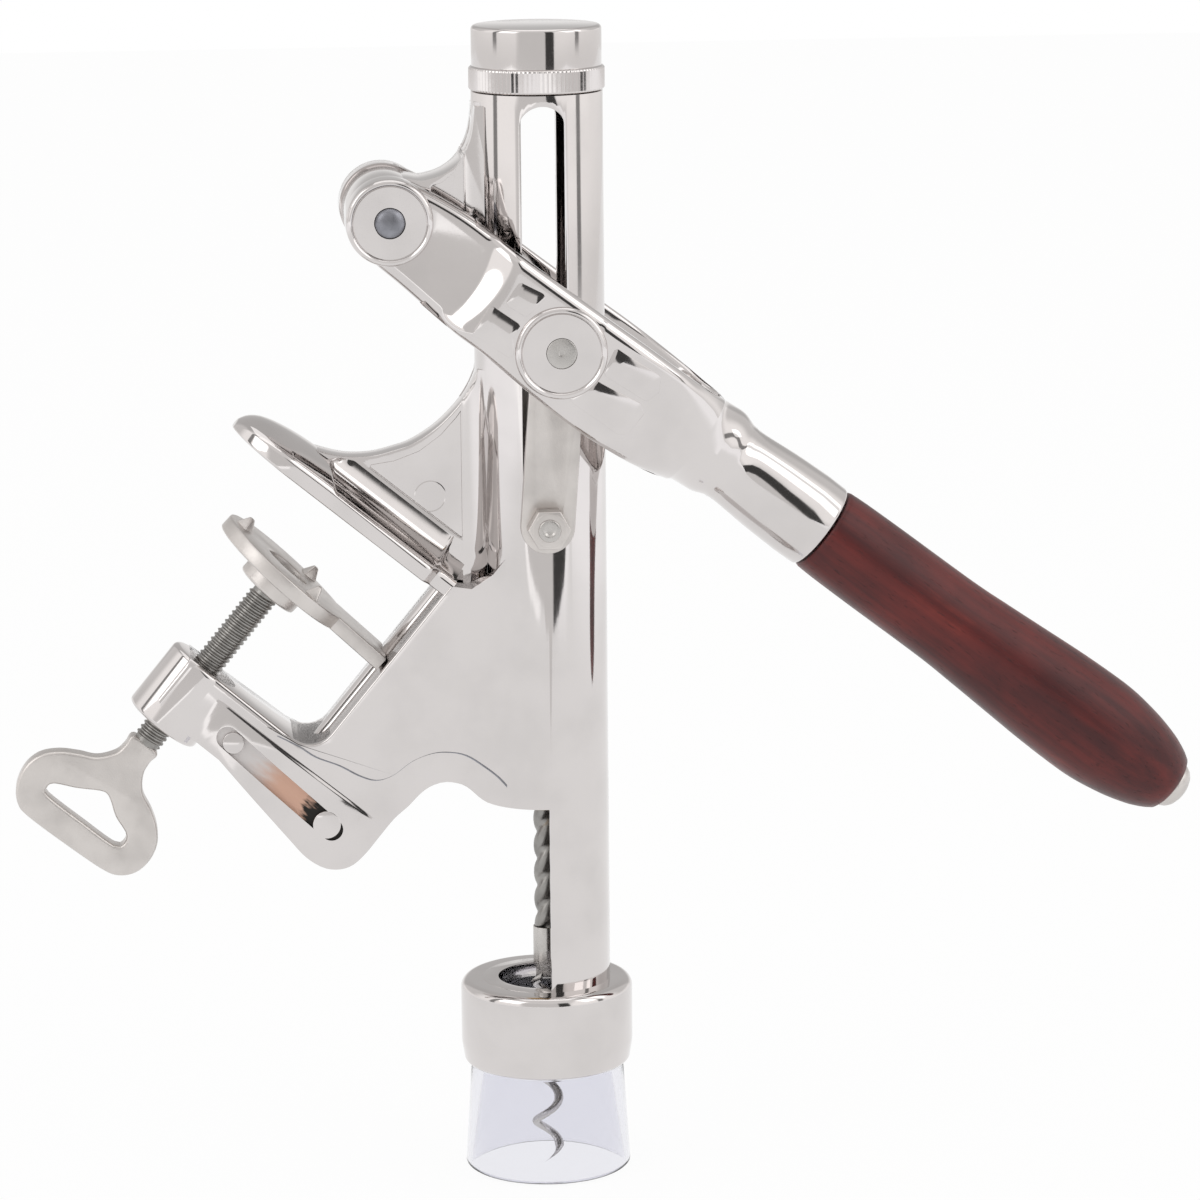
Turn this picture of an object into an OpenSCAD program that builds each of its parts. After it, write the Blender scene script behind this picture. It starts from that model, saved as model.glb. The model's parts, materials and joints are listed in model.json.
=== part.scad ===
// Counter mount corkscrew. Sizes are in mm.
// Origin: centre of the clamp's counter face, on the clamp screw's axis.
// +X runs to the handle side, +Y away from the viewer and +Z up.
// The casting is one piece in metal. It is cut here into barrel, bell_ring,
// clamp_block, clamp_arm, upper_jaw and pivot_lug, which meet face to face.

/* [Position of the barrel] */
// Barrel axis to the counter face, along X
jaw_x = 54.4; // [54.4:0.1:54.4]
// Counter face above the rim of the bell
jaw_z = 182.7; // [182.7:0.1:182.7]

/* [Barrel] */
// Bore for the carriage
bore_r = 13.5; // [13.4:0.05:13.6]
// Wall of the barrel round that bore
wall = 3.7; // [3.5:0.1:3.8]
// Step from that bore to the narrower one for the cork, on the radius
bore_step = 0.5; // [0.4:0.1:0.8]
// Shoulder between the two bores, above the rim of the bell
shoulder_z = 101.5; // [101.5:0.5:103]
// Top of the barrel's full outer radius
tube_top = 291.2; // [291:0.1:291.4]
// Wall of the neck that carries the cap
neck_wall = 1.7; // [1.5:0.1:2]
// Height of the neck
neck_h = 7.8; // [7:0.1:8.6]
// Width of the two slots for the cross bolt
slot_w = 12; // [11.8:0.1:12.4]
// Wall left above the slots
slot_roof = 1.8; // [1.6:0.1:2.2]
// Lower edge of the cork window
window_bottom = 56.5; // [56:0.5:58]
// Upper edge of the cork window
window_top = 100.2; // [99:0.2:100.4]

/* [Cap] */
// Wall of the cap round the neck
cap_wall = 1.8; // [1.6:0.1:2]
// The knurled band stands out of the polished part by this much
band_out = 0.75; // [0.5:0.05:0.8]
// Height of the knurled band
band_h = 6.8; // [6:0.1:7.4]
// Height of the polished part above it
cap_h = 10.3; // [9:0.1:11]
// Rounding of the cap's top edge
cap_edge = 2; // [1:0.5:3]

/* [Bell] */
// Outer radius of the bell ring
ring_r = 22.85; // [22.5:0.05:23]
// Top face of the bell ring
ring_top = 53.7; // [53.5:0.1:54]
// Lower edge of the bell ring
ring_bottom = 29.2; // [29:0.1:30]
// Thickness of the plate at the top of the ring
ring_plate = 4.2; // [3.5:0.1:5]
// Radius of the clear bell's neck
bell_neck_r = 19.25; // [19:0.05:19.3]
// Wall of the clear bell
bell_wall = 2; // [1.5:0.1:2.5]
// Outer radius of the clear bell at its rim
bell_rim_r = 22.3; // [22:0.1:22.8]
// Outer radius of the clear bell below the ring
bell_top_r = 20.6; // [20.3:0.1:20.9]

/* [Rear pivot] */
// Pivot of the lever left of the barrel's axis
pivot_x = -40; // [-40:0.1:-40]
// Pivot of the lever below the top of the barrel
pivot_drop = 31.2; // [31.2:0.1:31.2]
// Half width of the lug at the pivot
lug_half = 13; // [12:0.1:13.5]
// Radius of the lug round the pin
lug_r = 12.4; // [12:0.1:13]
// Radius of the rear pin and the link pins
pin_r = 4; // [3.8:0.05:4]

/* [Clamp frame] */
// Half width of the block behind the throat
block_half = 13.5; // [13:0.1:13.8]
// Half width of the jaw
jaw_half = 12.8; // [12:0.1:13.4]
// Thickness of the jaw at its side edges
jaw_edge = 3.5; // [2.5:0.1:4]
// Height of the jaw's back above the counter face
jaw_back = 9.2; // [8.5:0.1:10]
// Thickness of the webs
web_t = 9; // [8:0.2:10]
// Fillet between a web and the barrel or the jaw
web_fillet = 7; // [6:0.5:7.5]
// Throat face, from the screw axis
throat_t = 35.2; // [35:0.1:35.6]
// Height of the open throat
throat_depth = 54.4; // [54:0.1:55]
// Rounding at the foot of the throat
throat_round = 7; // [6:0.5:8]
// Radius of the guide rail down the throat
rail_r = 4; // [3.5:0.1:4.2]
// Rail stands out of the throat face by this much
rail_out = 1.6; // [1.2:0.1:1.8]
// Rail is let into the jaw by this much
rail_seat = 0.8; // [0.5:0.1:1.2]
// Radius of the boss for the clamp screw
boss_r = 10.6; // [10:0.1:11]
// Length of the boss
boss_len = 20; // [18:0.5:20]
// Chamfer along the arm's lower edges
arm_chamfer = 4; // [3:0.5:5]

/* [Clamp pad] */
// Pad face below the counter face
pad_gap = 20.4; // [20:0.1:21]
// Radius of the pad
pad_r = 20.4; // [19:0.2:21]
// Thickness of the pad
pad_t = 4; // [3.5:0.1:5]
// Radius of the pad's hub
hub_r = 8.9; // [8:0.1:9.5]
// Length of the pad's hub
hub_len = 4.8; // [4.6:0.1:5]
// Half width of the tongue to the rail
tongue_half = 10; // [9:0.5:11]
// Height of a tooth
tooth_h = 3.9; // [3:0.1:4.5]

/* [Clamp screw] */
// Radius of the screw
screw_r = 4; // [4:0.01:4]
// Radius of the screw's neck in the hub
neck_in_hub = 3; // [2.5:0.1:3.2]
// Thickness of the key
key_t = 6; // [5:0.2:7]

/* [Lever] */
// Angle of the lever below horizontal
lever_down = 37.5; // [37.5:0.1:37.5]
// Distance between rear pivot and link pin
crank = 55.1; // [55.1:0.1:55.1]
// Inner face of the arms at the rear pivot
arm_in = 14.5; // [14:0.1:15]
// Outer face of the arms at the rear pivot
arm_out = 23.4; // [23:0.1:24]
// Gap between the links and the arms
arm_gap = 0.5; // [0.4:0.1:0.7]
// Thickness of the arms beside the links
arm_t = 6.6; // [6:0.1:6.8]
// Radius, round the rear pivot, of the pocket for the links
pocket_r = 22; // [21.5:0.1:22.2]
// Offset of the grip's axis from the arm's line
grip_v = 1.1; // [1:0.1:1.2]

/* [Links and carriage] */
// Distance between the link's holes
link_len = 46.9; // [46.9:0.1:46.9]
// Lean of the links at rest
link_lean = 4.18; // [4.18:0.01:4.18]
// Width of a link
link_w = 13.6; // [13:0.1:13.8]
// Thickness of a link
link_t = 3; // [2.5:0.1:3.1]
// Gap between barrel and links
link_gap = 0.7; // [0.6:0.1:0.8]
// Radius of the cross bolt
bolt_r = 3; // [2.9:0.05:3]
// Width across the flats of the nuts
nut_af = 10; // [9:0.5:10]
// Thickness of the nuts
nut_h = 4.9; // [4.5:0.1:5]

/* [Spindle and worm] */
// Lead of the spindle's two ridges
lead = 14.8; // [14.8:0.1:14.8]
// Radius over the ridges
spindle_r = 3.1; // [3:0.05:3.1]
// Play between the ridges and the follower nut
helix_play = 0.3; // [0.25:0.05:0.4]
// Length of the follower nut
follower_len = 16.5; // [14:0.5:17]
// Radius of the collar that joins spindle and worm
collar_r = 3.45; // [3.2:0.05:3.8]
// Outer radius of the worm
worm_r = 4.25; // [4:0.05:4.4]
// Pitch of the worm
worm_pitch = 12.8; // [12:0.1:14]
// Thickness of the worm's wire
worm_wire = 2.5; // [2.2:0.1:2.8]
// Tip of the worm above the rim of the bell
worm_tip = 2.6; // [2.6:0.1:4]

/* [Clearances] */
// Running fit of a pin in its hole, on the radius
run = 0.05; // [0.03:0.01:0.08]
// Gap between side faces that slide past each other
side_gap = 0.2; // [0.15:0.05:0.3]
// Gap between the edge of the counter face and the throat
seat_gap = 0.02; // [0.01:0.01:0.05]

/* [Hidden] */
$fn = 96;
cut = 0.5;
clamp_tilt = 39.5;
tube_r = bore_r + wall;
cork_bore_r = bore_r - bore_step;
neck_r = bore_r + neck_wall;
neck_top = tube_top + neck_h;
cap_r = neck_r + cap_wall;
band_r = cap_r + band_out;
band_top = tube_top + band_h;
cap_top = band_top + cap_h;
pivot_z = tube_top - pivot_drop;
pin_v = -0.5;
bolt_z = pivot_z - crank * sin(lever_down) + pin_v * cos(lever_down) - link_len * cos(link_lean);
slot_top = tube_top - slot_roof;
slot_bottom = bolt_z - slot_w / 2 - 1.3;
link_in = tube_r + link_gap;
wide_in = link_in + link_t + arm_gap;
wide_out = wide_in + arm_t;
nut_in = link_in + link_t + side_gap;
nut_out = nut_in + nut_h;
carriage_r = bore_r - run;
carriage_bottom = bolt_z - 14.3;
carriage_top = bolt_z + 13.7;
socket_r = 10;
socket_top = bolt_z - 5.3;
head_r = 8;
spindle_top = socket_top - 2.3;
collar_bottom = ring_top + 2;
collar_top = collar_bottom + 10.6;
jaw_round = (jaw_half * jaw_half + pow(jaw_back - jaw_edge, 2)) / (2 * (jaw_back - jaw_edge));
rail_t = throat_t - rail_out + rail_r;
fillet_x = -sqrt(pow(tube_r + web_fillet, 2) - pow(web_t / 2 + web_fillet, 2));
fillet_y = tube_r * (web_t / 2 + web_fillet) / (tube_r + web_fillet);
boss_bottom = -throat_depth - boss_len;
hub_bottom = -pad_gap - pad_t - hub_len;
key_top = -81;
screw_tenon = -89;
grip_end = 264;

// ---- shared helpers ----

// From barrel coordinates (axis at X = Y = 0, bell rim at Z = 0) to the origin.
module from_barrel() translate([jaw_x, 0, -jaw_z]) children();

// Barrel X and Z of a point given across the counter (t) and along the clamp screw (n).
function clamp_point(t, n) = [
    t * cos(clamp_tilt) + n * sin(clamp_tilt) - jaw_x, n * cos(clamp_tilt) - t * sin(clamp_tilt) + jaw_z
];

// Clamp coordinates: X across the counter, Z along the clamp screw.
module in_clamp() rotate([0, clamp_tilt, 0]) children();

// Lever coordinates: X along the lever from the rear pivot, Z square to it.
module in_lever() from_barrel() translate([pivot_x, 0, pivot_z]) rotate([0, lever_down, 0]) children();

// Upright cylinder between two heights.
module post(r, z0, z1) translate([0, 0, z0]) cylinder(r = r, h = z1 - z0);

// Cylinder along Y between two Y values.
module crossbar(r, y0, y1) translate([0, y1, 0]) rotate([90, 0, 0]) cylinder(r = r, h = y1 - y0);

// Side profile drawn in X and Z, of the given half width in Y.
module side_plate(half) rotate([90, 0, 0]) linear_extrude(2 * half, center = true) children();

// The same piece on the near and on the far side.
module both_sides() {
    children();
    mirror([0, 1, 0]) children();
}

// Space taken by the barrel, for the pieces of the casting around it.
module barrel_space() from_barrel() post(tube_r, 20, tube_top + 20);

// ---- casting ----

module barrel() {
    color("silver") from_barrel() difference() {
        union() {
            post(tube_r, ring_top, tube_top);
            post(neck_r, tube_top - cut, neck_top);
        }
        post(cork_bore_r, ring_top - cut, shoulder_z + cut);
        post(bore_r, shoulder_z, neck_top + cut);
        bolt_slots();
        translate([-2 * tube_r, -2 * tube_r, window_bottom])
            cube([2 * tube_r, 4 * tube_r, window_top - window_bottom]);
    }
}

// Long slots through both walls of the barrel.
module bolt_slots() {
    low = slot_bottom + slot_w / 2;
    high = slot_top - slot_w / 2;
    translate([-slot_w / 2, -2 * tube_r, low]) cube([slot_w, 4 * tube_r, high - low]);
    translate([0, 0, low]) crossbar(slot_w / 2, -2 * tube_r, 2 * tube_r);
    translate([0, 0, high]) crossbar(slot_w / 2, -2 * tube_r, 2 * tube_r);
}

module bell_ring() {
    color("silver") from_barrel() rotate_extrude() polygon([
        [cork_bore_r, ring_top], [ring_r - 3, ring_top], [ring_r - 1.5, ring_top - 0.4],
        [ring_r - 0.4, ring_top - 1.5], [ring_r, ring_top - 3], [ring_r, ring_bottom + 6],
        [ring_r - 0.7, ring_bottom + 2.6], [ring_r - 1.6, ring_bottom + 0.8],
        [ring_r - 2.6, ring_bottom], [bell_neck_r + run, ring_bottom],
        [bell_neck_r + run, ring_top - ring_plate], [cork_bore_r, ring_top - ring_plate]
    ]);
}

// Wavy outline of the block behind the throat, in X and Z of the barrel.
module block_outline() polygon([
    clamp_point(throat_t, 0), clamp_point(throat_t, 3.2), [-19.7, 161.9], [-14, 165.6], [-10.8, 169.5],
    [-5, 172], [-5, 99.6], [-8, 99.9], [-11.2, 100.2], [-14.4, 100.9], [-17.6, 102.4], [-20.8, 105.8],
    [-24, 107], [-27.2, 107.1], [-30.4, 105.8], [-33.7, 103.7], [-36.9, 99.7], [-39.6, 99.9],
    for (a = [90:-15:0]) clamp_point(
        throat_t - throat_round * (1 - cos(a)), throat_round * (1 - sin(a)) - throat_depth)
]);

// Guide rail down the throat; its top end is let into the jaw.
module rail(grow = 0) translate([rail_t, 0, -throat_depth])
    cylinder(r = rail_r + grow, h = throat_depth + rail_seat);

module clamp_block() {
    color("silver") difference() {
        union() {
            from_barrel() side_plate(block_half) block_outline();
            in_clamp() rail();
        }
        barrel_space();
        in_clamp() translate([-50, -50, -throat_depth - 40]) cube([200, 100, 40]);
    }
}

// Arm below the throat, in X and Z of the barrel.
module arm_outline() polygon([
    clamp_point(throat_t, -throat_depth), [-39.6, 99.9], [-44.2, 93], [-48.3, 87.4], [-52.5, 85.1],
    [-56.5, 84.1], [-60.5, 84.4], [-64.4, 88.2], [-68.3, 92.7], [-72.2, 97.3], [-76.1, 102.1], [-80, 106.6],
    [-83.8, 111.3], [-87.7, 115.8], [-89, 117.5], [-89, 140.7]
]);

module clamp_arm() {
    color("silver") difference() {
        union() {
            difference() {
                from_barrel() side_plate(block_half) arm_outline();
                from_barrel() lower_chamfer();
            }
            in_clamp() post(boss_r, boss_bottom, -throat_depth);
        }
        in_clamp() post(screw_r + run, boss_bottom - cut, -throat_depth + cut);
        in_clamp() translate([-60, -50, -throat_depth]) cube([160, 100, 40]);
        both_sides() in_clamp() arm_side_taper();
    }
}

// Both lower edges of the arm, cut off at 45 degrees.
module lower_chamfer() both_sides() translate([-60.5, -block_half, 84.4])
    rotate([0, -130.9, 0]) translate([-8, 0, 0.4]) rotate([90, 0, 90])
        linear_extrude(60) polygon([[-1, -arm_chamfer - 1], [-1, 9], [arm_chamfer + 8, 9], [arm_chamfer, 0]]);

// The arm narrows from the block towards the boss.
module arm_side_taper() translate([0, 0, -110]) linear_extrude(70) polygon([
    [-30, boss_r], [12, boss_r], [30, block_half - 1], [44, block_half], [44, 30], [-30, 30]
]);

// Jaw seen along the screw axis: a plate with a rounded tip.
module jaw_plan() {
    r = 8;
    translate([-35.4 + r, -jaw_half]) square([72 - r, 2 * jaw_half]);
    translate([-35.4, -jaw_half + r]) square([r + 1, 2 * jaw_half - 2 * r]);
    translate([-35.4 + r, jaw_half - r]) circle(r);
    translate([-35.4 + r, -jaw_half + r]) circle(r);
}

// Jaw seen from its end: flat below, gently domed on top.
module jaw_section() intersection() {
    translate([-20, 0]) square([40, jaw_back]);
    translate([0, jaw_back - jaw_round]) circle(jaw_round);
}

// Rising web over the jaw, in X and Z of the barrel.
module web_outline() polygon([
    [-62, 201], [-59.5, 199.5], [-55.6, 198.1], [-51.6, 197.2], [-47.7, 197.1], [-43.7, 197.5],
    [-39.8, 198.5], [-35.8, 199.7], [-31.8, 201.8], [-27.8, 204.6], [-24, 208.2], [-21, 211.6],
    [-18.9, 215.3], [-17.1, 217.9], [-5, 220], [-5, 160], [-25, 163], [-66, 198]
]);

module upper_jaw() {
    color("silver") difference() {
        union() {
            in_clamp() intersection() {
                linear_extrude(jaw_back) jaw_plan();
                rotate([90, 0, 90]) translate([0, 0, -36]) linear_extrude(72) jaw_section();
                side_plate(20)
                    polygon([[-34.2, 0], [-35.6, 4.4], [-32.6, 7.2], [-28, 9.4], [36, 9.4], [36, 0]]);
            }
            from_barrel() side_plate(web_t / 2) web_outline();
            from_barrel() web_fillets() web_outline();
            in_clamp() jaw_fillets();
        }
        barrel_space();
        in_clamp() translate([-50, -50, -100]) cube([200, 100, 100]);
        in_clamp() rail(seat_gap);
        from_barrel() side_plate(20) polygon([
            clamp_point(throat_t - seat_gap, -9), clamp_point(throat_t - seat_gap, 0.3),
            clamp_point(throat_t, 0.3), clamp_point(throat_t, 3.2), [-19.7, 161.9], [-14, 165.6],
            [-10.8, 169.5], [-5, 172], [0, 120]
        ]);
    }
}

// Concave fillets where a web runs into the barrel, cut to the web's outline.
module web_fillets() intersection() {
    linear_extrude(400) difference() {
        translate([fillet_x, -fillet_y]) square([12, 2 * fillet_y]);
        translate([fillet_x, web_t / 2 + web_fillet]) circle(web_fillet);
        translate([fillet_x, -web_t / 2 - web_fillet]) circle(web_fillet);
    }
    side_plate(20) children();
}

// Concave fillets along the foot of the web, on the back of the jaw.
module jaw_fillets(r = 5.8) intersection() {
    in_clamp() translate([-2, 0, 0]) rotate([90, 0, 90]) linear_extrude(60) difference() {
        translate([-web_t / 2 - r, 4]) square([web_t + 2 * r, jaw_back - 5 + r]);
        translate([web_t / 2 + r, jaw_back - 1 + r]) circle(r);
        translate([-web_t / 2 - r, jaw_back - 1 + r]) circle(r);
    }
    from_barrel() side_plate(20) web_outline();
}

// Lug between barrel and rear pivot, in X and Z of the barrel.
module lug_outline() polygon([
    [-40, 271.5], [-34.6, 271.2], [-32, 270.7], [-29.4, 271.1], [-26.8, 271.9], [-24.1, 273.4],
    [-21.5, 275.9], [-18.8, 280.6], [-16.9, 288.9], [-5, 289], [-5, 226], [-17, 231],
    [-21, 237], [-27, 243], [-34, 248], [-40, 249.5]
]);

// Recessed panel of the lug, between its rim, the pivot and the barrel.
module lug_panel() difference() {
    polygon([
        [-29, 268], [-26, 269], [-22.5, 271.5], [-19.5, 275], [-17.5, 279], [-5, 279],
        [-5, 238], [-17, 239.5], [-20, 243], [-25, 248], [-30, 252]
    ]);
    translate([pivot_x, pivot_z]) circle(lug_r + 1.5);
}

module pivot_lug() {
    color("silver") difference() {
        from_barrel() union() {
            difference() {
                side_plate(9) lug_outline();
                both_sides() translate([0, -web_t / 2, 0]) rotate([90, 0, 0]) linear_extrude(20) lug_panel();
            }
            translate([pivot_x, 0, pivot_z]) crossbar(lug_r, -lug_half, lug_half);
            web_fillets() lug_outline();
        }
        barrel_space();
        from_barrel() translate([pivot_x, 0, pivot_z]) crossbar(pin_r + run, -20, 20);
    }
}

// ---- pieces fixed to the casting ----

module top_cap() {
    color("silver") from_barrel() rotate_extrude() polygon([
        [0, neck_top + 0.1], [neck_r + run, neck_top + 0.1], [neck_r + run, tube_top],
        [band_r - 0.4, tube_top], [band_r, tube_top + 0.4], [band_r, band_top - 0.4], [band_r - 0.4, band_top],
        [cap_r, band_top], [cap_r, cap_top - cap_edge], [cap_r - 0.25, cap_top - 0.6 * cap_edge],
        [cap_r - 0.8, cap_top - 0.25 * cap_edge], [cap_r - cap_edge, cap_top], [0, cap_top]
    ]);
}

module rear_pin() {
    tip = arm_out + 1.4;
    color("dimgray") from_barrel() translate([pivot_x, 0, pivot_z]) rotate([90, 0, 0])
        rotate_extrude() polygon([
        [0, -tip], [1.6, -tip + 0.15], [2.8, -tip + 0.5], [3.6, -tip + 1], [pin_r, -tip + 1.4],
        [pin_r, tip - 1.4], [3.6, tip - 1], [2.8, tip - 0.5], [1.6, tip - 0.15], [0, tip]
    ]);
}

module clear_bell() {
    color("lavender", 0.4) from_barrel() rotate_extrude() polygon([
        [bell_neck_r, ring_top - ring_plate - 0.1], [bell_neck_r, ring_bottom - 0.1],
        [bell_top_r, ring_bottom - 0.1], [bell_rim_r, 1.3], [bell_rim_r - 0.3, 0.4], [bell_rim_r - 1, 0],
        [bell_rim_r - 1.7, 0.4], [bell_rim_r - bell_wall, 1.3], [bell_neck_r - bell_wall, ring_bottom - 0.1],
        [bell_neck_r - bell_wall, ring_top - ring_plate - 0.1]
    ]);
}

// Cross-section of the spindle: a round core with two ridges, grown by the play.
module helix_section(grow = 0) {
    ridge = spindle_r + grow;
    flank = 2.5 + grow;
    core = 2.2 + grow;
    half_turn = [[-24, ridge], [0, ridge], [24, ridge], [50, flank], [90, core], [130, flank]];
    polygon([for (k = [0:1]) for (p = half_turn)
        [p[1] * cos(p[0] + 180 * k), p[1] * sin(p[0] + 180 * k)]]);
}

// Right-handed two-start bar between two heights, turned so that all parts of it line up.
module fast_helix(z0, z1, grow = 0) {
    turns = (z1 - z0) / lead;
    translate([0, 0, z0]) rotate([0, 0, 360 * z0 / lead])
        linear_extrude(z1 - z0, twist = -360 * turns, slices = ceil(18 * turns), $fn = 12)
            helix_section(grow);
}

// ---- carriage and follower nut ----

module follower_nut() {
    low = shoulder_z + run;
    color("goldenrod") from_barrel() difference() {
        post(bore_r - run, low, low + follower_len);
        fast_helix(low - 1, low + follower_len + 1, helix_play);
    }
}

module carriage() {
    color("gainsboro") from_barrel() difference() {
        post(carriage_r, carriage_bottom, carriage_top);
        post(socket_r, carriage_bottom - cut, socket_top);
        translate([0, 0, bolt_z]) crossbar(bolt_r + 0.02, -20, 20);
    }
}

module retainer_plug() {
    color("goldenrod") from_barrel() difference() {
        post(socket_r - 0.02, carriage_bottom, carriage_bottom + 3);
        post(spindle_r + 0.6, carriage_bottom - cut, carriage_bottom + 4);
    }
}

module thrust_washer() {
    color("goldenrod") from_barrel() difference() {
        post(socket_r - 0.5, socket_top - 2, socket_top);
        post(3, socket_top - 3, socket_top + cut);
    }
}

module cross_bolt() {
    color("gainsboro") from_barrel() translate([0, 0, bolt_z])
        crossbar(bolt_r, -nut_out - 0.8, nut_out + 0.8);
}

module link_nuts() {
    color("gainsboro") both_sides() from_barrel() translate([0, -nut_in, bolt_z]) rotate([90, 0, 0])
        difference() {
            rotate([0, 0, 30]) cylinder(r = nut_af / sqrt(3), h = nut_out - nut_in, $fn = 6);
            translate([0, 0, -cut]) cylinder(r = bolt_r + 0.02, h = 20);
        }
}

module slot_bushes() {
    color("goldenrod") both_sides() from_barrel() translate([0, 0, bolt_z]) difference() {
        crossbar(slot_w / 2 - 0.15, -link_in + side_gap, -carriage_r - 0.1);
        crossbar(bolt_r + 0.02, -30, 0);
    }
}

// ---- links ----

// A link in its own plane: two round ends and a straight bar, with both holes.
module link_shape() difference() {
    union() {
        circle(link_w / 2);
        translate([0, link_len]) circle(link_w / 2);
        translate([-link_w / 2, 0]) square([link_w, link_len]);
    }
    circle(bolt_r + run);
    translate([0, link_len]) circle(pin_r + 0.02);
}

module link_bar() from_barrel() translate([0, -link_in, bolt_z]) rotate([90, 0, 0]) rotate([0, 0, -link_lean])
    linear_extrude(link_t) link_shape();

module link_near() color("lightgray") link_bar();

module link_far() color("lightgray") mirror([0, 1, 0]) link_bar();

module eye_bushes() {
    color("goldenrod") both_sides() from_barrel() translate([0, 0, bolt_z]) rotate([0, link_lean, 0])
        translate([0, 0, link_len]) crossbar(pin_r, -link_in - link_t - side_gap, -link_in);
}

// ---- spindle and worm ----

module spindle() {
    color("gray") from_barrel() {
        fast_helix(collar_top - 4, carriage_bottom - 0.5);
        post(spindle_r, carriage_bottom - 0.6, spindle_top - 3);
        post(head_r, spindle_top - 3.4, spindle_top);
    }
}

module collar() {
    color("lightgray") from_barrel() difference() {
        post(collar_r, collar_bottom, collar_top);
        post(spindle_r + 0.03, collar_top - 4.1, collar_top + cut);
    }
}

// Corkscrew wire round an open centre, with a shank above and a point below.
module worm() {
    wire_r = worm_wire / 2;
    orbit = worm_r - wire_r;
    z0 = worm_tip + 3;
    z1 = collar_bottom - 5;
    turns = (z1 - z0) / worm_pitch;
    color("gray") from_barrel() {
        translate([0, 0, z0])
            linear_extrude(z1 - z0, twist = -360 * turns, slices = ceil(22 * turns), $fn = 10)
                translate([orbit, 0]) circle(wire_r);
        for (k = [0:3])
            rotate([0, 0, -360 * (k + 1) * 0.75 / worm_pitch]) translate([0, 0, z0 - (k + 1) * 0.75])
                linear_extrude(0.76, twist = -360 * 0.76 / worm_pitch, slices = 2, $fn = 10)
                    translate([orbit + 0.25 * k, 0]) circle(wire_r * (1 - 0.24 * (k + 0.3)));
        rotate([0, 0, 360 * turns]) translate([0, 0, z1 - 0.01])
            linear_extrude(2.5, twist = -60, slices = 6, $fn = 10) translate([orbit, 0]) circle(wire_r);
        post(collar_r - 0.6, z1 + 1.4, collar_bottom);
    }
}

// ---- lever ----

// Side view of both arms, in lever coordinates.
module arm_side() union() {
    circle(11.3);
    polygon([
        [0, -11], [2.9, -10.9], [11.6, -11.4], [29.2, -12.8], [39.5, -12.9], [54.7, -14], [70.6, -13.7],
        [83, -12.8], [95.9, -11.8], [105.3, -10.4], [113, -8.2], [113, 9.4], [107.6, 10.8], [98, 12],
        [91.1, 12.7], [74, 12.7], [60.9, 12.8], [46.1, 13.2], [31.8, 13.4], [15.7, 13.6], [6, 12.6], [0, 11.2]
    ]);
}

// Outer edge of one arm, looking square onto the lever.
module arm_plan_outer() polygon([
    [-20, 0], [-20, arm_out], [26, arm_out], [30, arm_out + 1.6], [35, wide_out - 1], [43, wide_out],
    [66, wide_out], [76, wide_out - 1.2], [84, wide_out - 3.2], [91, wide_out - 6], [97, wide_out - 9.2],
    [102, 15.8], [107, 13.4], [113, 12.2], [113, 0]
]);

// Inner edge of one arm.
module arm_plan_inner() polygon([
    [-30, -0.1], [-30, wide_in], [70, wide_in], [78, wide_in - 0.8], [85, wide_in - 3], [91, wide_in - 6.2],
    [96, 11], [99.3, 6], [100.3, -0.1]
]);

// Prism over a plan drawn in X and Y, on both sides of the lever's middle.
module plan_prism() both_sides() translate([0, 0, -30]) linear_extrude(60) children();

module yoke() {
    color("silver") in_lever() difference() {
        union() {
            difference() {
                intersection() {
                    side_plate(40) arm_side();
                    plan_prism() arm_plan_outer();
                }
                arm_cavity();
                both_sides() crossbar(33.7, -40, -arm_out);
            }
            both_sides() crossbar(11.3, -arm_out - 0.5, -arm_in);
            both_sides() translate([crank, 0, pin_v]) crossbar(12, -wide_out - 0.6, -wide_in);
            yoke_hub();
        }
        crossbar(pin_r + run, -40, 40);
        translate([crank, 0, pin_v]) crossbar(pin_r + 0.02, -40, 40);
        translate([0, 0, grip_v]) rotate([0, 90, 0]) post(pin_r + 0.02, 118, 160);
    }
}

// Space between the arms, with room for the links and the lug.
module arm_cavity() difference() {
    plan_prism() arm_plan_inner();
    both_sides() crossbar(pocket_r, -wide_in - 1, -arm_in);
}

// Hub and ferrule, turned round the grip's axis.
module yoke_hub() translate([0, 0, grip_v]) rotate([0, 90, 0]) rotate_extrude() polygon([
    [0, 101], [9, 101], [12.2, 104], [13.2, 108], [12.4, 111.2], [11.4, 113.4], [11.1, 115], [11.3, 119],
    [11.85, 126], [12.1, 132], [12.1, 143], [11.8, 143.5], [0, 143.5]
]);

module wood_grip() {
    color("saddlebrown") in_lever() translate([0, 0, grip_v]) rotate([0, 90, 0]) rotate_extrude() polygon([
        [pin_r + 0.02, 144], [11.9, 144], [12.1, 146], [12.2, 150], [12.4, 162], [12.4, 186], [13, 198],
        [13.7, 210], [14.4, 222], [14.7, 234], [14.7, 240], [13.9, 246], [13, 252], [11.1, 258],
        [9.6, 261.4], [7.9, grip_end], [pin_r + 0.02, grip_end]
    ]);
}

module grip_rod() {
    color("gray") in_lever() translate([0, 0, grip_v]) rotate([0, 90, 0]) post(pin_r, 118.5, 264.5);
}

module end_nut() {
    color("silver") in_lever() translate([0, 0, grip_v]) rotate([0, 90, 0]) rotate_extrude() polygon([
        [0, 264.6], [pin_r + 0.02, 264.6], [pin_r + 0.02, grip_end], [6.1, grip_end], [6, 265.2],
        [5.1, 266.6], [3.6, 267.8], [1.8, 268.4], [0, 268.5]
    ]);
}

module link_pins() {
    color("gainsboro") both_sides() in_lever() translate([crank, 0, pin_v])
        crossbar(pin_r, -wide_out - 0.8, -wide_in);
}

// ---- clamp ----

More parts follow.
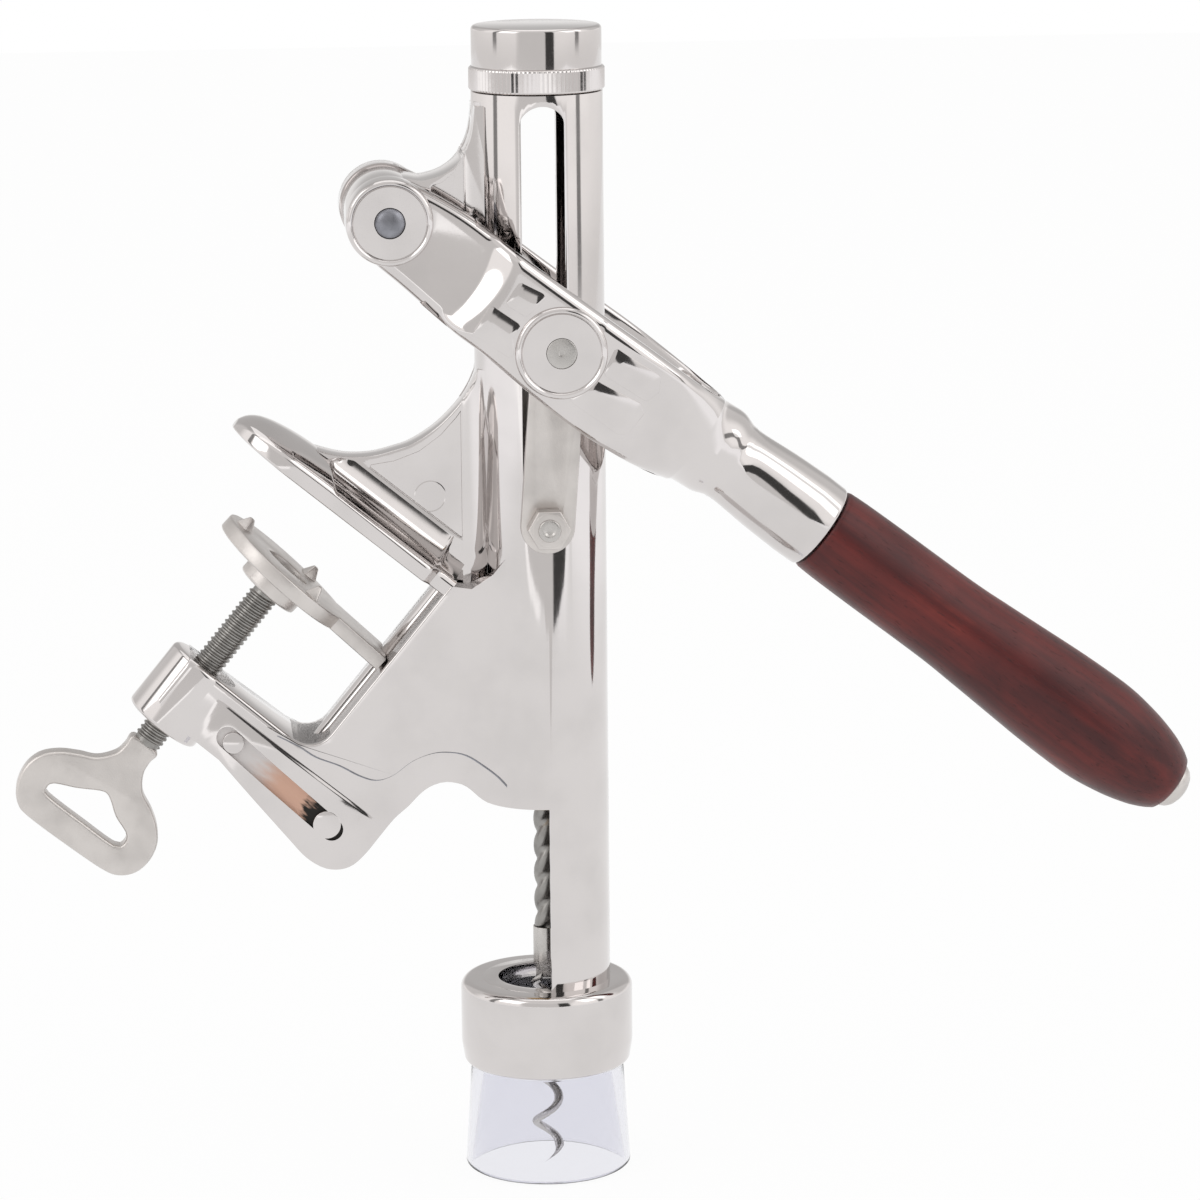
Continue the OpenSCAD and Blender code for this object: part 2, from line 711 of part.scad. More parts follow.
// Disc and tongue of the pad, looking along the screw.
module pad_plan() difference() {
    union() {
        circle(pad_r);
        translate([0, -tongue_half]) square([throat_t - 0.8, 2 * tongue_half]);
    }
    translate([rail_t, 0]) circle(rail_r + 0.4);
    circle(6.7);
}

// Three-sided point that bites into the underside of the counter.
module pad_tooth() cylinder(r1 = 3.2, r2 = 0.3, h = tooth_h, $fn = 3);

module clamp_pad() {
    tooth_orbit = 16.9;
    color("lightgray") in_clamp() {
        translate([0, 0, -pad_gap - pad_t]) linear_extrude(pad_t) pad_plan();
        difference() {
            post(hub_r, hub_bottom, -pad_gap - pad_t + 0.01);
            post(neck_in_hub + run, hub_bottom - cut, -pad_gap);
        }
        for (a = [60, 180, 300])
            rotate([0, 0, a]) translate([tooth_orbit, 0, -pad_gap - 0.01]) pad_tooth();
    }
}

module clamp_screw() {
    color("gray") in_clamp() {
        post(screw_r, key_top, hub_bottom - 0.1);
        post(neck_in_hub, hub_bottom - 0.2, -pad_gap - pad_t + 1.6);
        post(neck_in_hub, screw_tenon, key_top + 0.1);
    }
}

module screw_washer() {
    color("lightgray") in_clamp() difference() {
        post(5.6, -pad_gap - pad_t + side_gap, -pad_gap - pad_t + 1.6);
        post(neck_in_hub + 0.01, -40, 0);
    }
}

// Outline of the key, drawn across the screw (X) and along it (Y).
module key_outline() difference() {
    union() {
        translate([-12.4, -106.4]) circle(9.2);
        translate([11.8, -106.4]) circle(8.6);
        polygon([
            [-12.4, -115.6], [11.8, -115], [19.6, -102.8], [17.2, -97.9], [12.8, -94.3], [7.1, -92.2],
            [4.4, -87.6], [4, key_top], [-4, key_top], [-4.6, -86.5], [-7.6, -91.4],
            [-16.2, -95.6], [-20.8, -102.5]
        ]);
    }
    polygon([
        [-12.3, -103.7], [-7.1, -101.7], [-1.3, -98.1], [1.3, -98.7], [5.4, -101.3], [10.7, -103.4],
        [11.6, -105.6], [10.4, -107.8], [-11.7, -107.8], [-13.2, -105.8]
    ]);
}

module clamp_key() {
    color("lightgray") in_clamp() difference() {
        side_plate(key_t / 2) key_outline();
        post(neck_in_hub + 0.02, screw_tenon - 0.1, key_top + cut);
    }
}

// ---- selection ----

barrel();
bell_ring();
clamp_block();
clamp_arm();
upper_jaw();
pivot_lug();
top_cap();
rear_pin();
clear_bell();
follower_nut();
carriage();
retainer_plug();
thrust_washer();
cross_bolt();
link_nuts();
slot_bushes();
link_near();
link_far();
eye_bushes();
spindle();
collar();
worm();
yoke();
wood_grip();
grip_rod();
end_nut();
link_pins();
clamp_pad();
clamp_screw();
clamp_key();
screw_washer();
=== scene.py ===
"""Looks of the counter mount corkscrew, laid out as a Blender add-on and run as a script.

Sizes are in millimetres in the modelling helpers and become metres when a piece is made.
"""

import json
import math

import bmesh
import bpy
from mathutils import Matrix, Vector


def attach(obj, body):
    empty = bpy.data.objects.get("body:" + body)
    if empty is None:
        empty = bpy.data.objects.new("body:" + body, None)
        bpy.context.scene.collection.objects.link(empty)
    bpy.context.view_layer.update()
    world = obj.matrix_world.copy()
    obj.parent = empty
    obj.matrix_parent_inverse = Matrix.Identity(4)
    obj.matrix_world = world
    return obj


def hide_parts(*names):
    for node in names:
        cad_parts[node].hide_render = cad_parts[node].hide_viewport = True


bl_info = {
    "name": "Counter Mount Corkscrew",
    "version": (1, 0, 0),
    "blender": (4, 5, 0),
    "location": "View3D > Sidebar > Corkscrew",
    "description": "Dresses the packed corkscrew frame with its finished pieces and studio",
    "category": "Object",
}

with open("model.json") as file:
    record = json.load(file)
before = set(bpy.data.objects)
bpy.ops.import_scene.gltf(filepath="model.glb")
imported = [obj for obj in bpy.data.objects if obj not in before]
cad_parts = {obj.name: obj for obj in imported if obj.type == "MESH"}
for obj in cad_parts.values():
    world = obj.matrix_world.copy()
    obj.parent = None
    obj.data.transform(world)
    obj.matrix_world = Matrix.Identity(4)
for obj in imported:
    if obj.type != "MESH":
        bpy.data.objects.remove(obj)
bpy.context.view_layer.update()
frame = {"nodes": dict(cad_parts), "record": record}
NODES = frame["nodes"]

MM = 0.001
QUARTER, HALF_TURN, FULL_TURN = math.pi / 2, math.pi, 2 * math.pi

# Layout of the frame. Barrel X and Z start at the middle of the bell's foot, which is JAW_X in front of and
# JAW_Z below the frame's origin at the upper jaw.
JAW_X, JAW_Z = 54.4, 182.7
CLAMP_TILT = math.radians(39.5)
# The lever: rear pivot, angle at rest, pivot to link pin, and how far the grip's axis is above the pivot.
PIVOT = (-40.0, 260.0)
LEVER_DOWN = math.radians(37.5)
CRANK = 55.1
GRIP_V = 1.1
# The links: cross bolt at rest, lean, and distance between the eyes.
BOLT_Z = 179.3
LINK_LEAN = math.radians(4.18)
LINK_LEN = 46.9
# Radii of the pins, their holes, the cross bolt and the links' ends.
PIN_R, PIN_HOLE, BOLT_R, LINK_R = 4.0, 4.05, 3.0, 7.1
SPINDLE_LEAD, WORM_LEAD, WORM_R = 14.8, 12.8, 3.0

# Transforms that take each group from its own coordinates to the frame's, still in millimetres.
BARREL = Matrix.Translation((JAW_X, 0, -JAW_Z))
CLAMP = Matrix.Rotation(CLAMP_TILT, 4, "Y")
LEVER = BARREL @ Matrix.Translation((PIVOT[0], 0, PIVOT[1])) @ Matrix.Rotation(LEVER_DOWN, 4, "Y")
GRIP = LEVER @ Matrix.Translation((0, 0, GRIP_V)) @ Matrix.Rotation(math.pi / 2, 4, "Y")
BOLT = BARREL @ Matrix.Translation((0, 0, BOLT_Z))
LINK = BOLT @ Matrix.Rotation(LINK_LEAN, 4, "Y")
ALONG_Y = Matrix.Rotation(math.pi / 2, 4, "X")


# The finishes by name, once their operator has made them.
MATERIALS = {}


# ---------------------------------------------------------------- modelling helpers


def place(bm, matrix):
    """Moves a bmesh and gives it back, so that calls can be nested."""
    bmesh.ops.transform(bm, matrix=matrix, verts=bm.verts)
    return bm


def crosswise(bm, x=0.0, z=0.0):
    """Lays a piece that was turned about Z across the corkscrew, at X and Z."""
    return place(bm, Matrix.Translation((x, 0, z)) @ ALONG_Y)


def arc_points(x, y, r, start, stop, count):
    """Points on an arc, both ends among them."""
    angles = [start + (stop - start) * k / count for k in range(count + 1)]
    return [(x + r * math.cos(a), y + r * math.sin(a)) for a in angles]


def circle_points(x, y, r, count=32):
    return arc_points(x, y, r, 0, FULL_TURN, count)[:-1]


def of_kind(geom, kind):
    return [g for g in geom if isinstance(g, kind)]


def mirrored(bm):
    """Adds the far side's copy of a near-side piece."""
    both = bmesh.ops.duplicate(bm, geom=bm.verts[:] + bm.edges[:] + bm.faces[:])["geom"]
    bmesh.ops.scale(bm, vec=(1, -1, 1), verts=of_kind(both, bmesh.types.BMVert))
    bmesh.ops.reverse_faces(bm, faces=of_kind(both, bmesh.types.BMFace))
    return bm


def joined(*parts):
    """One bmesh that holds all the given ones."""
    out = bmesh.new()
    for part in parts:
        mesh = bpy.data.meshes.new("tmp")
        part.to_mesh(mesh)
        out.from_mesh(mesh)
        bpy.data.meshes.remove(mesh)
        part.free()
    return out


def add_object(name, data):
    obj = bpy.data.objects.new(name, data)
    bpy.context.collection.objects.link(obj)
    return obj


def make_piece(name, bm, body, finish, replaces=(), sharp=35.0):
    """Turns a bmesh in millimetres into an object with a finish that rides on a body."""
    place(bm, Matrix.Scale(MM, 4))
    mesh = bpy.data.meshes.new(name)
    bm.to_mesh(mesh)
    bm.free()
    for poly in mesh.polygons:
        poly.use_smooth = True
    mesh.set_sharp_from_angle(angle=math.radians(sharp))
    mesh.materials.append(MATERIALS[finish])
    obj = add_object(name, mesh)
    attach(obj, body)
    if replaces:
        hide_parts(*replaces)
    return obj


def rounded(points, arc=5):
    """Corner list (x, y, radius) to a smooth outline: corners with a radius become arcs."""
    out = []
    n = len(points)
    for i, (x, y, r) in enumerate(points):
        here = Vector((x, y))
        if r <= 0:
            out.append(here)
            continue
        back = Vector(points[i - 1][:2]) - here
        ahead = Vector(points[(i + 1) % n][:2]) - here
        half = back.angle(ahead) / 2
        reach = min(r / math.tan(half), back.length * 0.49, ahead.length * 0.49)
        r = reach * math.tan(half)
        start = here + back.normalized() * reach
        end = here + ahead.normalized() * reach
        centre = here + (back.normalized() + ahead.normalized()).normalized() * r / math.sin(half)
        a0 = start - centre
        turn = a0.angle_signed(end - centre)
        for k in range(arc + 1):
            spot = a0.copy()
            spot.rotate(Matrix.Rotation(-turn * k / arc, 2))
            out.append(centre + spot)
    return out


def curve_through(points, step=1.0, closed=False):
    """Smooth line through the given points, by Catmull-Rom."""
    pts = [Vector(p) for p in points]
    n = len(pts)
    out = []
    for i in range(n if closed else n - 1):
        if closed:
            p0, p1, p2, p3 = pts[i - 1], pts[i], pts[(i + 1) % n], pts[(i + 2) % n]
        else:
            p0, p1 = pts[max(i - 1, 0)], pts[i]
            p2, p3 = pts[i + 1], pts[min(i + 2, n - 1)]
        count = max(1, int((p2 - p1).length / step))
        for k in range(count):
            t = k / count
            out.append(0.5 * (2 * p1 + (p2 - p0) * t + (2 * p0 - 5 * p1 + 4 * p2 - p3) * t * t
                              + (3 * p1 - p0 - 3 * p2 + p3) * t ** 3))
    if not closed:
        out.append(pts[-1])
    return out


def lathe(profile, steps=96):
    """Solid of revolution about Z from (radius, height) points, bottom to top."""
    bm = bmesh.new()
    verts = [bm.verts.new((r, 0, z)) for r, z in profile]
    edges = [bm.edges.new((a, b)) for a, b in zip(verts, verts[1:])]
    if profile[0][0] > 0 and profile[-1][0] > 0 and profile[0] != profile[-1]:
        edges.append(bm.edges.new((verts[-1], verts[0])))
    bmesh.ops.spin(bm, geom=verts + edges, cent=(0, 0, 0), axis=(0, 0, 1), angle=FULL_TURN,
                   steps=steps, use_merge=True)
    bmesh.ops.remove_doubles(bm, verts=bm.verts, dist=1e-4)
    bmesh.ops.recalc_face_normals(bm, faces=bm.faces)
    return bm


def turned(corners, steps=96, arc=4):
    """Lathe with its corners (radius, height, rounding) rounded off."""
    return lathe([(max(p.x, 0), p.y) for p in rounded_open(corners, arc)], steps)


def rounded_open(corners, arc=4):
    """The same for a line whose two ends stay sharp."""
    ends = [(corners[0][0], corners[0][1], 0)] + list(corners[1:-1]) + [(corners[-1][0], corners[-1][1], 0)]
    return rounded(ends, arc)


def bevel_edges(bm, edges, width, segments):
    bmesh.ops.bevel(bm, geom=edges, offset=width, offset_type="OFFSET", affect="EDGES", segments=segments,
                    profile=0.5, material=-1, clamp_overlap=True)
    return bm


def plate(outline, half, edge, holes=(), segments=4):
    """Flat piece in X and Z with rounded edges, centred on Y = 0."""
    bm = bmesh.new()
    rings = []
    for loop in (outline,) + tuple(holes):
        verts = [bm.verts.new((p[0], -half, p[1])) for p in loop]
        rings += [bm.edges.new((a, b)) for a, b in zip(verts, verts[1:] + verts[:1])]
    bmesh.ops.triangle_fill(bm, edges=rings, use_beauty=True, use_dissolve=False)
    faces = bm.faces[:]
    moved = bmesh.ops.extrude_face_region(bm, geom=faces, use_keep_orig=True)["geom"]
    bmesh.ops.translate(bm, vec=(0, 2 * half, 0), verts=of_kind(moved, bmesh.types.BMVert))
    bmesh.ops.recalc_face_normals(bm, faces=bm.faces)
    bmesh.ops.dissolve_limit(bm, angle_limit=math.radians(0.5), verts=bm.verts,
                             edges=[e for e in bm.edges if abs(e.verts[0].co.y - e.verts[1].co.y) < 1e-6])
    if edge > 0:
        rims = [e for e in bm.edges if e.is_manifold and e.calc_face_angle(0) > math.radians(60)
                and abs(e.verts[0].co.y - e.verts[1].co.y) < 1e-6]
        bevel_edges(bm, rims, edge, segments)
    return bm


def loft(rings, caps=True):
    """Skin over closed rings of points; every ring has the same number."""
    bm = bmesh.new()
    loops = []
    for ring in rings:
        verts = [bm.verts.new(p) for p in ring]
        loops.append([bm.edges.new((a, b)) for a, b in zip(verts, verts[1:] + verts[:1])])
    for a, b in zip(loops, loops[1:]):
        bmesh.ops.bridge_loops(bm, edges=a + b)
    if caps:
        bmesh.ops.holes_fill(bm, edges=loops[0] + loops[-1], sides=0)
    bmesh.ops.remove_doubles(bm, verts=bm.verts, dist=1e-4)
    bmesh.ops.recalc_face_normals(bm, faces=bm.faces)
    return bm


def cut_across(bm, places, normal=(1, 0, 0)):
    """Adds edges square to the normal, so that the piece can be bent."""
    for x in places:
        everything = bm.verts[:] + bm.edges[:] + bm.faces[:]
        bmesh.ops.bisect_plane(bm, geom=everything, plane_co=Vector(normal) * x, plane_no=normal)
    return bm


def from_cad(*names):
    """Merged copy of CAD nodes, in millimetres, with flat areas made whole."""
    bm = bmesh.new()
    for name in names:
        bm.from_mesh(NODES[name].data)
    place(bm, Matrix.Scale(1 / MM, 4))
    bmesh.ops.remove_doubles(bm, verts=bm.verts, dist=2e-3)
    bmesh.ops.dissolve_limit(bm, angle_limit=math.radians(0.6), verts=bm.verts, edges=bm.edges)
    return bm


def bevelled(bm, width, angle=32.0, segments=3):
    """Rounds every edge sharper than the angle."""
    sharp = [e for e in bm.edges if e.is_manifold and e.calc_face_angle(0) > math.radians(angle)]
    return bevel_edges(bm, sharp, width, segments)


def smoothstep(a, b, x):
    """Zero up to a, one from b, and a smooth rise between."""
    t = min(1.0, max(0.0, (x - a) / (b - a)))
    return t * t * (3 - 2 * t)


def along(table, x):
    """Smooth value of a table of (x, value) rows."""
    if x <= table[0][0]:
        return table[0][1]
    slopes = [(b[1] - a[1]) / (b[0] - a[0]) for a, b in zip(table, table[1:])]
    for i, ((x0, y0), (x1, y1)) in enumerate(zip(table, table[1:])):
        if x <= x1:
            m0 = (slopes[max(i - 1, 0)] + slopes[i]) / 2
            m1 = (slopes[i] + slopes[min(i + 1, len(slopes) - 1)]) / 2
            w, t = x1 - x0, (x - x0) / (x1 - x0)
            return (y0 * (2 * t ** 3 - 3 * t * t + 1) + y1 * (3 * t * t - 2 * t ** 3)
                    + w * m0 * (t ** 3 - 2 * t * t + t) + w * m1 * (t ** 3 - t * t))
    return table[-1][1]


# ---------------------------------------------------------------- shader helpers


class Val:
    """A shader socket that can be used in Python expressions."""

    def __init__(self, net, socket):
        self.net = net
        self.socket = socket

    def _math(self, operation, *others):
        node = self.net.node("ShaderNodeMath", {"operation": operation},
                             {i: v for i, v in enumerate((self,) + others)})
        return Val(self.net, node.outputs[0])

    def __add__(self, other):
        return self._math("ADD", other)

    __radd__ = __add__

    def __mul__(self, other):
        return self._math("MULTIPLY", other)

    __rmul__ = __mul__

    def __sub__(self, other):
        return self._math("SUBTRACT", other)

    def __rsub__(self, other):
        return (self * -1) + other

    def __abs__(self):
        return self._math("ABSOLUTE")

    def clamp(self):
        node = self.net.node("ShaderNodeMath", {"operation": "ADD", "use_clamp": True}, {0: self, 1: 0.0})
        return Val(self.net, node.outputs[0])

    def step(self, low, high):
        node = self.net.node("ShaderNodeMapRange", {"interpolation_type": "SMOOTHSTEP"},
                             {"Value": self, "From Min": low, "From Max": high})
        return Val(self.net, node.outputs[0])


class Net:
    """Builds the nodes of one material or world."""

    def __init__(self, tree):
        self.tree = tree
        tree.nodes.clear()

    def node(self, kind, settings=None, values=None):
        node = self.tree.nodes.new(kind)
        for key, value in (settings or {}).items():
            if key == "stops":
                ramp = node.color_ramp
                while len(ramp.elements) > 1:
                    ramp.elements.remove(ramp.elements[-1])
                for i, (pos, colour) in enumerate(value):
                    element = ramp.elements[0] if i == 0 else ramp.elements.new(pos)
                    element.position = pos
                    element.color = colour
            else:
                setattr(node, key, value)
        for key, value in (values or {}).items():
            self.set(node.inputs[key], value)
        return node

    def set(self, socket, value):
        if isinstance(value, Val):
            value = value.socket
        if isinstance(value, bpy.types.NodeSocket):
            self.tree.links.new(value, socket)
        else:
            socket.default_value = value

    def val(self, node, output=0):
        return Val(self, node.outputs[output])

    def mix(self, factor, a, b):
        node = self.node("ShaderNodeMix", {"data_type": "RGBA"}, {0: factor, 6: a, 7: b})
        return node.outputs[2]

    def coords(self, scale=(1, 1, 1), turn=(0, 0, 0)):
        where = self.node("ShaderNodeTexCoord")
        node = self.node("ShaderNodeMapping", {}, {"Vector": where.outputs["Object"], "Scale": scale,
                                                   "Rotation": turn})
        return node.outputs[0]

    def stretched(self, vector, along):
        """The coordinates drawn out along X, for grain and streaks."""
        return self.node("ShaderNodeMapping", {}, {"Vector": vector, "Scale": (along, 1, 1)}).outputs[0]

    def split(self, vector):
        node = self.node("ShaderNodeSeparateXYZ", {}, {0: vector})
        return [Val(self, socket) for socket in node.outputs]

    def noise(self, vector, scale, detail=3.0, rough=0.5):
        node = self.node("ShaderNodeTexNoise", {}, {"Vector": vector, "Scale": scale, "Detail": detail,
                                                    "Roughness": rough})
        return self.val(node)

    def bump(self, height, strength, distance=0.0002):
        node = self.node("ShaderNodeBump", {}, {"Height": height, "Strength": strength, "Distance": distance})
        return node.outputs[0]

    def blend(self, factor, first, second):
        """Mix of two shader nodes."""
        return self.node("ShaderNodeMixShader", {}, {0: factor, 1: first.outputs[0], 2: second.outputs[0]})

    def rays(self, *kinds):
        """One where the ray is of any of the kinds."""
        path = self.node("ShaderNodeLightPath")
        return sum(Val(self, path.outputs[kind]) for kind in kinds).clamp()

    def finish(self, shader, output="ShaderNodeOutputMaterial"):
        self.tree.links.new(shader.outputs[0], self.node(output).inputs["Surface"])

    def principled(self, sockets):
        self.finish(self.node("ShaderNodeBsdfPrincipled", {}, sockets))


def rgb(c):
    return (c[0], c[1], c[2], 1.0)


def new_material(name):
    material = bpy.data.materials.new(name)
    material.use_nodes = True
    return material, Net(material.node_tree)


def polished_nickel(colour, roughness):
    """Mirror-bright plating with faint cloudiness and a slow waviness from hand polishing."""
    material, net = new_material("polished_nickel")
    where = net.coords()
    cloud = net.noise(where, 55.0, 4.0)
    fine = net.noise(where, 900.0, 2.0)
    wave = net.noise(where, 38.0, 1.0)
    net.principled({
        "Metallic": 1.0,
        "Base Color": net.mix(cloud.step(0.35, 0.75), rgb(colour), rgb([c * 0.93 for c in colour])),
        "Roughness": roughness + cloud.step(0.4, 0.8) * 0.05 + fine.step(0.5, 0.9) * 0.04,
        "Normal": net.bump(wave + fine * 0.02, 0.10, 0.0006),
    })
    return material


def satin_nickel(colour, roughness):
    """Tumbled plating: fine even grain, duller than the casting."""
    material, net = new_material("satin_nickel")
    where = net.coords()
    grain = net.noise(where, 2600.0, 3.0, 0.6)
    cloud = net.noise(where, 120.0, 3.0)
    net.principled({
        "Metallic": 1.0,
        "Base Color": net.mix(cloud.step(0.3, 0.8), rgb(colour), rgb([c * 0.86 for c in colour])),
        "Roughness": roughness + cloud * 0.10,
        "Normal": net.bump(grain, 0.35, 0.0001),
    })
    return material


def bare_steel(name, colour, roughness, mottle=0.25):
    """Machined steel or bronze, a little uneven in tone."""
    material, net = new_material(name)
    where = net.coords()
    grain = net.noise(where, 1800.0, 3.0, 0.6)
    cloud = net.noise(where, 260.0, 4.0)
    net.principled({
        "Metallic": 1.0,
        "Base Color": net.mix(cloud.step(0.3, 0.75), rgb(colour), rgb([c * (1 - mottle) for c in colour])),
        "Roughness": roughness + grain * 0.12,
        "Normal": net.bump(grain, 0.2, 0.0001),
    })
    return material


def stained_wood(light, dark):
    """Stained beech: long pores and streaks down the grip under a thin semi-gloss lacquer."""
    material, net = new_material("stained_wood")
    down = net.coords(turn=(0, -LEVER_DOWN, 0))
    stretch = net.stretched(down, 0.06)
    broad = net.noise(stretch, 140.0, 4.0, 0.55)
    streak = net.noise(stretch, 520.0, 5.0, 0.6)
    fleck = net.noise(net.stretched(down, 0.22), 1500.0, 2.0, 0.5)
    patch = net.noise(down, 60.0, 3.0)
    tone = (broad * 0.55 + streak * 0.35 + patch * 0.35 - 0.1).clamp()
    base = net.mix(tone.step(0.35, 0.75), rgb(dark), rgb(light))
    pores = fleck.step(0.60, 0.72)
    base = net.mix(pores * 0.45, base, rgb([c * 0.45 for c in dark]))
    glow = patch.step(0.60, 0.78) * streak.step(0.45, 0.7)
    base = net.mix(glow * 0.30, base, rgb((light[0] * 1.9, light[1] * 2.2, light[2] * 1.6)))
    net.principled({
        "Base Color": base,
        "Roughness": 0.42 + pores * 0.15 - patch * 0.06,
        "Coat Weight": 0.12,
        "Coat Roughness": 0.28,
        "Specular IOR Level": 0.30,
        "IOR": 1.5,
        "Normal": net.bump(streak * 0.3 - pores * 0.6, 0.30, 0.0002),
    })
    return material


def recess_painted_reflection(plated, reflected_tone, dark):
    """Floor of the arm's recess: the plated colour, then a painted coppery reflection and a painted black
    reflection along the arm.
    """
    material, net = new_material("recess_painted_reflection")
    where = net.coords(turn=(0, -CLAMP_TILT, 0))
    across = net.split(where)[0]
    streak = net.noise(net.stretched(where, 0.2), 900.0, 3.0)
    # Painted reflection: where the coppery and then the black tone begin along the arm, with a streaky edge.
    reflected_share = (across + streak * 0.008).step(0.027, 0.038)
    dark_reflection_share = (across + streak * 0.010).step(0.0465, 0.049)
    colour = net.mix(dark_reflection_share, net.mix(reflected_share, rgb(plated), rgb(reflected_tone)), rgb(dark))
    net.principled({
        "Metallic": 0.6,
        "Base Color": colour,
        "Roughness": streak * 0.2 + 0.4,
        "Normal": net.bump(streak, 0.3, 0.0002),
    })
    return material


def clear_plastic(tint):
    """Clear moulded plastic with a faint cool tint."""
    material, net = new_material("clear_plastic")
    where = net.coords()
    cloud = net.noise(where, 90.0, 2.0)
    net.principled({
        "Base Color": rgb(tint),
        "Roughness": cloud * 0.03 + 0.015,
        "IOR": 1.46,
        "Transmission Weight": 1.0,
    })
    return material


# ---------------------------------------------------------------- properties


def size_prop(name, default, text, low, high):
    """Length that is given here in millimetres and kept in metres."""
    return bpy.props.FloatProperty(name=name, default=default * MM, description=text, min=low * MM,
                                   max=high * MM, precision=5, unit="LENGTH")


def colour_prop(name, default, text):
    return bpy.props.FloatVectorProperty(name=name, default=default, description=text, subtype="COLOR",
                                         size=3, min=0.0, max=1.0)


class CorkscrewFinish(bpy.types.PropertyGroup):
    """Colours and roughness of the finishes."""

    nickel: colour_prop("Polished nickel", (0.675, 0.645, 0.635), "Colour of the polished casting")
    nickel_rough: bpy.props.FloatProperty(name="Polish", default=0.06, min=0.0, max=1.0, subtype="FACTOR",
                                          description="Roughness of the polished casting")
    satin: colour_prop("Satin nickel", (0.68, 0.645, 0.62), "Colour of links, nuts, pad and key")
    satin_rough: bpy.props.FloatProperty(name="Satin", default=0.30, min=0.0, max=1.0, subtype="FACTOR",
                                         description="Roughness of links, nuts, pad and key")
    steel: colour_prop("Grey steel", (0.36, 0.35, 0.335), "Colour of the threads, spindle and worm")
    turned: colour_prop("Turned steel", (0.56, 0.54, 0.52), "Colour of pins, rod and bolt")
    dark: colour_prop("Dark steel", (0.34, 0.345, 0.38), "Colour of the rear pin's ends")
    bronze: colour_prop("Bronze", (0.62, 0.42, 0.20), "Colour of the bushes and the follower nut")
    # Coppery colour of the painted reflection on the floor of the arm's recess.
    recess_reflection_colour: colour_prop("Painted recess reflection", (0.66, 0.42, 0.32), "Colour of the painted reflection in the arm's recess")
    wood_light: colour_prop("Wood, light", (0.150, 0.020, 0.017), "Lighter streaks of the stained grip")
    wood_dark: colour_prop("Wood, dark", (0.052, 0.010, 0.011), "Darker grain of the stained grip")
    bell: colour_prop("Clear bell", (0.84, 0.84, 0.885), "Tint of the clear bell")


class CorkscrewSizes(bpy.types.PropertyGroup):
    """Sizes of details that only the finished pieces have."""

    edge: size_prop("Barrel edge", 0.8, "Rounding of the barrel's slots and window", 0.1, 2.0)
    soft: size_prop("Lower edge", 3.0, "Rounding along the underside of the block and arm", 2.0, 5.0)
    knurls: bpy.props.IntProperty(name="Knurls", default=96, min=24, max=180,
                                  description="Ridges round the cap's band")
    pitch: size_prop("Screw pitch", 1.5, "Thread pitch of the clamp screw", 1.0, 2.0)
    rim: size_prop("Arm edge", 3.0, "Rounding of the lever arms' edges", 1.0, 4.0)


class CorkscrewStudio(bpy.types.PropertyGroup):
    """Camera and light."""

    lens: bpy.props.FloatProperty(name="Lens", default=145.47, min=10.0, max=400.0, unit="CAMERA",
                                  description="Focal length on a 36 mm sensor")
    world: bpy.props.FloatProperty(name="Surround", default=0.88, min=0.0, max=4.0,
                                   description="Brightness of the white surround")


# ---------------------------------------------------------------- operators


class CORKSCREW_OT_finishes(bpy.types.Operator):
    """Make the materials and put them on the frame's own nodes"""

    bl_idname = "corkscrew.finishes"
    bl_label = "Finishes"

    def execute(self, context):
        f = context.scene.corkscrew_finish
        MATERIALS["cast_nickel"] = polished_nickel(f.nickel, f.nickel_rough)
        MATERIALS["satin_nickel"] = satin_nickel(f.satin, f.satin_rough)
        MATERIALS["grey_steel"] = bare_steel("grey_steel", f.steel, 0.30)
        MATERIALS["turned_steel"] = bare_steel("turned_steel", f.turned, 0.20, 0.12)
        MATERIALS["dark_steel"] = bare_steel("dark_steel", f.dark, 0.32, 0.35)
        MATERIALS["bronze"] = bare_steel("bearing_bronze", f.bronze, 0.28, 0.15)
        MATERIALS["stained_wood"] = stained_wood(f.wood_light, f.wood_dark)
        MATERIALS["clear_plastic"] = clear_plastic(f.bell)
        # The recess floor's coppery and black tones are painted reflection.
        MATERIALS["recess_painted_reflection"] = recess_painted_reflection(f.nickel, f.recess_reflection_colour, (0.02, 0.018, 0.016))
        for part in frame["record"]["subparts"]:
            node = NODES[part["node"]]
            node.data.materials.clear()
            node.data.materials.append(MATERIALS[part["material_slot"]])
        return {"FINISHED"}


# The clamp frame, across the counter (t) and along the clamp screw (n), and half widths across the object.
THROAT_T, THROAT_DEPTH, THROAT_FILLET = 35.2, 54.4, 7.0
JAW_HALF, BLOCK_HALF, TUBE_R, WEB_HALF = 16.3, 13.5, 17.2, 4.5
RAIL_R, RAIL_T = 4.0, THROAT_T + 2.4


def to_clamp(x, z):
    """Distance across the counter and along the clamp screw, from barrel X and Z."""
    x, z = x + JAW_X, z - JAW_Z
    return (x * math.cos(CLAMP_TILT) - z * math.sin(CLAMP_TILT),
            x * math.sin(CLAMP_TILT) + z * math.cos(CLAMP_TILT))


def round_rim(bm, points, width, segments):
    """Rounds the rim of a plate where it follows the given points."""
    rim = []
    for e in bm.edges:
        if abs(e.verts[0].co.y - e.verts[1].co.y) > 1e-6 or e.calc_face_angle(0) < 1.0:
            continue
        if all(any(abs(v.co.x - x) + abs(v.co.z - z) < 0.01 for x, z in points) for v in e.verts):
            rim.append(e)
    return bevel_edges(bm, rim, width, segments)


